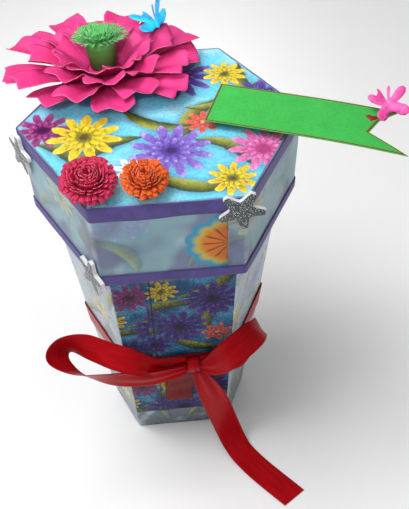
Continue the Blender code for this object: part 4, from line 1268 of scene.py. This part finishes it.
def fringed_roll(
    name, node, world, finishes, end_radius, pitch, tab, thickness, uncut, fringe, lean, taper,
    seed,
):
    """A strip snipped into tabs along its top, then wound up so that the tabs open outwards.

    The uncut height, the tabs' length and their lean in degrees each go from the first turn's
    to the last one's.
    """
    chance = random.Random(seed)
    start = 1.6 * MM
    total = math.pi * (end_radius ** 2 - start ** 2) / pitch
    tabs = int(total / tab)
    tab_cells, rows, steps = 2, 7, 12
    columns = tabs * tab_cells
    shape = bmesh.new()
    bmesh.ops.create_grid(shape, x_segments=columns, y_segments=rows, size=0.5)
    cuts = []
    for edge in shape.edges:
        a, b = (vertex.co for vertex in edge.verts)
        column = round((a.x + 0.5) * columns)
        upright = abs(a.x - b.x) < 1e-6 and min(a.y, b.y) > -0.5 + 0.9 / rows
        if upright and column % tab_cells == 0 and 0 < column < columns:
            cuts.append(edge)
    bmesh.ops.split_edges(shape, edges=cuts)
    jitter = [
        (chance.uniform(-13, 13), chance.uniform(0.86, 1.08), chance.uniform(-0.25, 0.25))
        for number in range(tabs + 1)
    ]

    def wound(along_share, row, number):
        """Where a point goes from its share along the strip, its row and its tab's number."""
        run = total * along_share
        angle = (math.sqrt(start ** 2 + pitch * run / math.pi) - start) * math.tau / pitch
        radius = start + pitch * angle / math.tau
        share = (radius - start) / (end_radius - start)
        out, height, sway = radius, between(uncut, share), 0.0
        if row <= 1.001:
            out *= taper + (1 - taper) * row
            height *= row
        else:
            lean_change, size, twist = jitter[number]
            opened = max(share - 0.45, 0.0) / 0.55
            snip = between(fringe, share) * size
            leaning = math.radians(between(lean, opened ** 1.6) + lean_change)
            reached = (row - 1) / (rows - 1)
            # A tab curls outwards from its foot
            for step in range(round(reached * steps)):
                tilt = leaning * (1 - (1 - (step + 0.5) / steps) ** 2.4)
                out += snip / steps * math.sin(tilt)
                height += snip / steps * math.cos(tilt)
            # It narrows towards its end, and twists a little to one side
            centre_run = (number + 0.5) / tabs * total
            sway = (centre_run - run) * 0.22 * reached + twist * tab * reached
        # The strip isn't wound evenly
        looseness = 0.34
        spot = (math.cos(angle) * 1.7, math.sin(angle) * 1.7, angle * 0.15 + seed)
        out += min(row, 1.0) * pitch * looseness * noise.noise(Vector(spot))
        turned = angle + sway / max(radius, start)
        return Vector((out * math.cos(turned), out * math.sin(turned), height))

    flat = []
    for vertex in shape.verts:
        middles = [face.calc_center_median().x for face in vertex.link_faces]
        number = min(int((sum(middles) / len(middles) + 0.5) * tabs), tabs)
        flat.append((vertex.co.x + 0.5, (vertex.co.y + 0.5) * rows, number))
    for vertex, values in zip(shape.verts, flat):
        vertex.co = wound(*values)
    bmesh.ops.transform(shape, matrix=world, verts=shape.verts)
    give_thickness(add_piece(name, shape, finishes, "lid", node, 50), thickness, 0.0, 1)


class GIFT_BOX_OT_quilled_flowers(Operator):
    """Wind the crimson and the orange flower from fringed strips"""
    bl_idname = "gift_box.quilled_flowers"
    bl_label = "Quilled flowers"

    def execute(self, context):
        quills = context.scene.gift_box_quills
        lean = math.radians(13.0)
        # Each flower's name, place in shares of the lid's radius, radius, fringe, colour and seed
        flowers = (
            ("crimson", (-0.474, -0.716), 9.9 * MM, 7.0 * MM, quills.crimson, 41),
            ("orange", (-0.133, -0.730), 8.5 * MM, 5.6 * MM, quills.orange, 42),
        )
        for name, (right, back), radius, fringe, colour, seed in flowers:
            seat = LID_TOP + (0.3 * MM + (radius + 0.5 * MM) * math.sin(lean))
            place = Matrix.Translation((right * LID_RADIUS, back * LID_RADIUS, seat))
            colour = tuple(colour)
            strip = cut_paper(name + "_strip", colour, 0.7, 0.4)
            fringed_roll(
                "quilled_" + name, "quilled_flower_" + name,
                place @ Matrix.Rotation(lean, 4, "X"),
                [strip, pale_edge(name + "_edge", colour, 0.16)],
                radius, pitch=quills.pitch, tab=quills.tab_width, thickness=0.28 * MM,
                uncut=(10.4 * MM, 5.8 * MM), fringe=(fringe * 0.72, fringe), lean=(2.0, 120.0),
                taper=1.0, seed=seed,
            )
        return {"FINISHED"}


class GIFT_BOX_OT_stars(Operator):
    """Cut three foam stars and cover their faces with glitter"""
    bl_idname = "gift_box.stars"
    bl_label = "Glitter stars"

    # Each star's name, side of the skirt, shares along and up it, and turn in degrees
    stars = (
        ("front_right", FRONT, 0.95, 0.88, 27.0),
        ("front_left", FRONT_LEFT, 0.945, 0.10, 8.0),
        ("side_left", FRONT_LEFT, 0.05, 0.75, 4.0),
    )
    # One of the five arms: degrees from its point and shares of the star's radius
    arm = ((-24, 0.60), (-8, 0.97), (0, 1.0), (8, 0.97), (24, 0.60), (36, 0.52))
    thickness = 2.5 * MM

    def execute(self, context):
        radius = context.scene.gift_box_trim.star_radius
        finishes = [silver_glitter(), white_foam()]
        corners = lid_corners()
        turns = [(90 + 72 * point + off, reach) for point in range(5) for off, reach in self.arm]
        flat = [
            (math.cos(math.radians(turn)) * reach, math.sin(math.radians(turn)) * reach, 0.0)
            for turn, reach in turns
        ]
        outline = smooth_path([flat[-1], *flat, flat[0]], 4)[4:-1]
        for name, side, along_share, up_share, turn in self.stars:
            start, end = corners[side], corners[(side + 1) % 6]
            along = (end - start).normalized()
            spot = start.lerp(end, along_share) + Vector((along.y, -along.x)) * GAP
            height = SKIRT_FOOT + SKIRT_DEEP * up_share
            stand = turned_to(
                math.radians(90), math.radians(turn), math.atan2(along.y, along.x))
            world = Matrix.Translation((spot.x, spot.y, height)) @ stand
            shape = self.cut(outline, radius)
            bmesh.ops.transform(shape, matrix=world, verts=shape.verts)
            add_piece("glitter_star_" + name, shape, finishes, "lid", "star_" + name, 40)
        return {"FINISHED"}

    def cut(self, outline, radius):
        """A flat star of foam with softened edges and glitter on its face."""
        shape = bmesh.new()
        ring = bmesh.ops.create_circle(
            shape, cap_ends=True, segments=len(outline), radius=radius)
        for vertex, reached in zip(ring["verts"], outline):
            vertex.co = Vector(reached) * radius
        grown = bmesh.ops.extrude_face_region(shape, geom=list(shape.faces))
        raised = [part for part in grown["geom"] if isinstance(part, bmesh.types.BMVert)]
        bmesh.ops.translate(shape, verts=raised, vec=(0, 0, self.thickness))
        bmesh.ops.recalc_face_normals(shape, faces=shape.faces)
        rims = []
        for edge in shape.edges:
            a, b = edge.verts
            if abs(a.co.z - b.co.z) < self.thickness / 2:
                rims.append(edge)
        bmesh.ops.bevel(
            shape, geom=rims, offset=0.22 * MM, segments=2, profile=0.5, affect="EDGES",
            material=-1,
        )
        shape.normal_update()
        for face in shape.faces:
            face.material_index = 0 if face.normal.z > 0.6 else 1
        return shape


TAG_TURN = math.radians(-21.0)


def tag_point(trim, run, across, raised=0.0):
    """A point on the tag's top: run along it, across from its middle line."""
    deepest = 2.0 * MM
    drop = deepest * max(run / trim.tag_length - 0.5, 0.0) ** 2 * 4
    cos, sin = math.cos(TAG_TURN), math.sin(TAG_TURN)
    return Vector((
        0.369 * LID_RADIUS + run * cos - across * sin,
        0.067 * LID_RADIUS + run * sin + across * cos,
        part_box("tag_pad_left")[1].z + GAP + 0.5 * MM - drop + raised,
    ))


class GIFT_BOX_OT_tag(Operator):
    """Cut the swallowtail tag, draw its border line and heart, and set it on its foam pads"""
    bl_idname = "gift_box.tag"
    bl_label = "Swallowtail tag"

    # The cut of the tails: shares of the half width across and of the length along
    tails = ((-1.0, 1.00), (-0.30, 0.80), (0.35, 0.84), (1.0, 0.93))

    def execute(self, context):
        trim = context.scene.gift_box_trim
        self.card(trim)
        self.heart(trim)
        repaint(["tag_pad_left", "tag_pad_right"], white_foam())
        return {"FINISHED"}

    def tail_reach(self, trim, share):
        for left, right in zip(self.tails, self.tails[1:]):
            if share <= right[0] + 1e-6:
                break
        reach = left[1] + (right[1] - left[1]) * (share - left[0]) / (right[0] - left[0])
        return trim.tag_length * reach

    def card(self, trim):
        """The card, with a thin line drawn round it a little inside its edge."""
        half = trim.tag_width / 2
        margin, line = 0.4 * MM, 0.9 * MM
        slant = 1.3
        ups = [-half, margin - half, margin + line - half]
        ups += [share * half for share in (-0.72, -0.5, -0.3, 0.0, 0.35, 0.6, 0.8)]
        ups += [half - margin - line, half - margin, half]
        columns, rows = 24, len(ups) - 1

        def place(along_share, up_share):
            across = ups[round(up_share * rows)]
            reach = self.tail_reach(trim, across / half)
            step = round(along_share * columns)
            first, last = margin + line, reach - (margin + line) * slant
            run = first + (last - first) * (step - 2) / (columns - 4)
            ends = {
                0: 0.0, 1: margin, 2: first,
                columns - 2: last, columns - 1: reach - margin * slant, columns: reach,
            }
            run = ends.get(step, run)
            curl = -0.5 * MM * (run / trim.tag_length * across / half) ** 2
            return tag_point(trim, run, across, curl)

        shape = bmesh.new()
        mapped_grid(shape, columns, rows, place)
        layer = shape.loops.layers.uv.active
        for face in shape.faces:
            along, up = (sum((loop[layer].uv for loop in face.loops), Vector((0, 0))) / 4) * MM
            column, row = int(along * columns), int((up + 0.5) * rows)
            across_line = row in (1, rows - 2) and 1 <= column <= columns - 2
            along_line = column in (1, columns - 2) and 1 <= row <= rows - 2
            face.material_index = 1 if across_line or along_line else 0
        finishes = [
            cut_paper("tag_card", tuple(trim.tag_colour), 0.6, 0.2),
            cut_paper("tag_line", rgb(120, 52, 36), 0.6, 0.3),
        ]
        piece = add_piece("tag_card", shape, finishes, "lid", "gift_tag", 30)
        give_thickness(piece, 0.5 * MM, -1.0)

    def heart(self, trim):
        """A plain small heart near the tails, as thick as a coat of ink."""
        size = 0.21
        cos = math.cos
        shape = bmesh.new()
        ring = bmesh.ops.create_circle(shape, cap_ends=True, segments=32, radius=1.0)
        for step, vertex in enumerate(ring["verts"]):
            angle = math.tau * step / 32
            x = 16 * math.sin(angle) ** 3
            y = 13 * cos(angle) - 5 * cos(2 * angle) - 2 * cos(3 * angle) - cos(4 * angle)
            run = trim.tag_length * 0.80 + x * size * MM
            across = 0.42 * (trim.tag_width / 2) + y * size * MM
            vertex.co = tag_point(trim, run, across, 0.06 * MM)
        bmesh.ops.recalc_face_normals(shape, faces=shape.faces)
        ink = cut_paper("heart_ink", rgb(176, 34, 44), 0.6, 0.4)
        heart = add_piece("tag_heart", shape, [ink], "lid", "gift_tag", 30, replaces=False)
        give_thickness(heart, 0.05 * MM, -1.0)


# Outline of the right-hand wings in shares of the span, from the head down to the tail
WING = (
    (0.000, 0.120), (0.015, 0.160), (0.055, 0.290), (0.095, 0.410), (0.140, 0.465),
    (0.175, 0.440), (0.165, 0.380), (0.125, 0.290), (0.085, 0.190), (0.120, 0.180),
    (0.240, 0.290), (0.360, 0.355), (0.455, 0.350), (0.500, 0.275), (0.455, 0.180),
    (0.340, 0.100), (0.200, 0.035), (0.270, -0.020), (0.375, -0.090), (0.420, -0.195),
    (0.375, -0.295), (0.275, -0.330), (0.170, -0.285), (0.095, -0.180), (0.040, -0.140),
    (0.000, -0.160),
)


class GIFT_BOX_OT_butterflies(Operator):
    """Punch two paper butterflies, one perched on the big flower and one on the tag"""
    bl_idname = "gift_box.butterflies"
    bl_label = "Paper butterflies"

    def execute(self, context):
        trim = context.scene.gift_box_trim
        papers = wing_papers(
            "cyan", rgb(34, 190, 232), rgb(24, 150, 214), rgb(20, 80, 120), rgb(30, 120, 170))
        perch = (0.030 * LID_RADIUS, 0.806 * LID_RADIUS, LID_TOP + 22.5 * MM)
        self.butterfly(
            "butterfly_cyan", "butterfly_blue", papers, 32 * MM, perch, (14.0, 2.0), (12.0, 74.0))
        papers = wing_papers(
            "rose", rgb(250, 110, 190), rgb(240, 70, 160), rgb(150, 30, 90), rgb(230, 90, 170))
        perch = tag_point(trim, trim.tag_length * 0.872, trim.tag_width * 0.48, GAP + 2.4 * MM)
        self.butterfly(
            "butterfly_rose", "butterfly_pink", papers, 25 * MM, perch, (16.0, 34.0), (12.0, 22.0))
        return {"FINISHED"}

    def butterfly(self, name, node, papers, span, place, turns, raised):
        """Two wings raised by their own angles, on a body with a heading and a tilt in degrees."""
        shape = bmesh.new()
        for side, angle in zip((-1, 1), raised):
            corners = [shape.verts.new((side * x * span, y * span, 0.0)) for x, y in WING]
            made = bmesh.ops.triangulate(shape, faces=[shape.faces.new(corners)])
            inner = {e for face in made["faces"] for e in face.edges if not e.is_boundary}
            bmesh.ops.subdivide_edges(shape, edges=list(inner), cuts=2, use_grid_fill=True)
            for vertex in shape.verts:
                if not vertex.tag:
                    # A wing bends down a little towards its tip
                    out = abs(vertex.co.x)
                    bow = math.radians(angle) + 0.06 - 0.18 * out / span
                    bent = (side * out * math.cos(bow), vertex.co.y, out * math.sin(bow))
                    vertex.co = Vector(bent)
                    vertex.tag = True
        close_up(shape)
        heading, tilt = map(math.radians, turns)
        world = Matrix.Translation(place) @ turned_to(tilt, 0.0, heading)
        bmesh.ops.transform(shape, matrix=world, verts=shape.verts)
        bmesh.ops.recalc_face_normals(shape, faces=shape.faces)
        give_thickness(add_piece(name, shape, papers, "lid", node, 60), 0.25 * MM, 0.0, 1)


class GIFT_BOX_PT_panel(Panel):
    """Lists the gift box's sizes, colours and pieces"""
    bl_idname = "GIFT_BOX_PT_panel"
    bl_label = "Gift Box"
    bl_space_type = "VIEW_3D"
    bl_region_type = "UI"
    bl_category = "Gift Box"

    def draw(self, context):
        for name, group in GROUPS.items():
            box = self.layout.box()
            for prop in group.__annotations__:
                box.prop(getattr(context.scene, name), prop)
        for operator in OPERATORS:
            self.layout.operator(operator.bl_idname)


OPERATORS = (
    GIFT_BOX_OT_stage,
    GIFT_BOX_OT_board,
    GIFT_BOX_OT_papers,
    GIFT_BOX_OT_bow,
    GIFT_BOX_OT_flower,
    GIFT_BOX_OT_quilled_flowers,
    GIFT_BOX_OT_stars,
    GIFT_BOX_OT_tag,
    GIFT_BOX_OT_butterflies,
)


def register():
    for made in (*GROUPS.values(), *OPERATORS, GIFT_BOX_PT_panel):
        bpy.utils.register_class(made)
    for name, group in GROUPS.items():
        setattr(bpy.types.Scene, name, PointerProperty(type=group))


def unregister():
    for name in GROUPS:
        delattr(bpy.types.Scene, name)
    for made in (GIFT_BOX_PT_panel, *reversed(OPERATORS), *reversed(list(GROUPS.values()))):
        bpy.utils.unregister_class(made)


def main():
    register()
    bpy.ops.gift_box.stage()
    bpy.ops.gift_box.board()
    bpy.ops.gift_box.papers()
    bpy.ops.gift_box.bow()
    bpy.ops.gift_box.flower()
    bpy.ops.gift_box.quilled_flowers()
    bpy.ops.gift_box.stars()
    bpy.ops.gift_box.tag()
    bpy.ops.gift_box.butterflies()


if __name__ == "__main__":
    main()
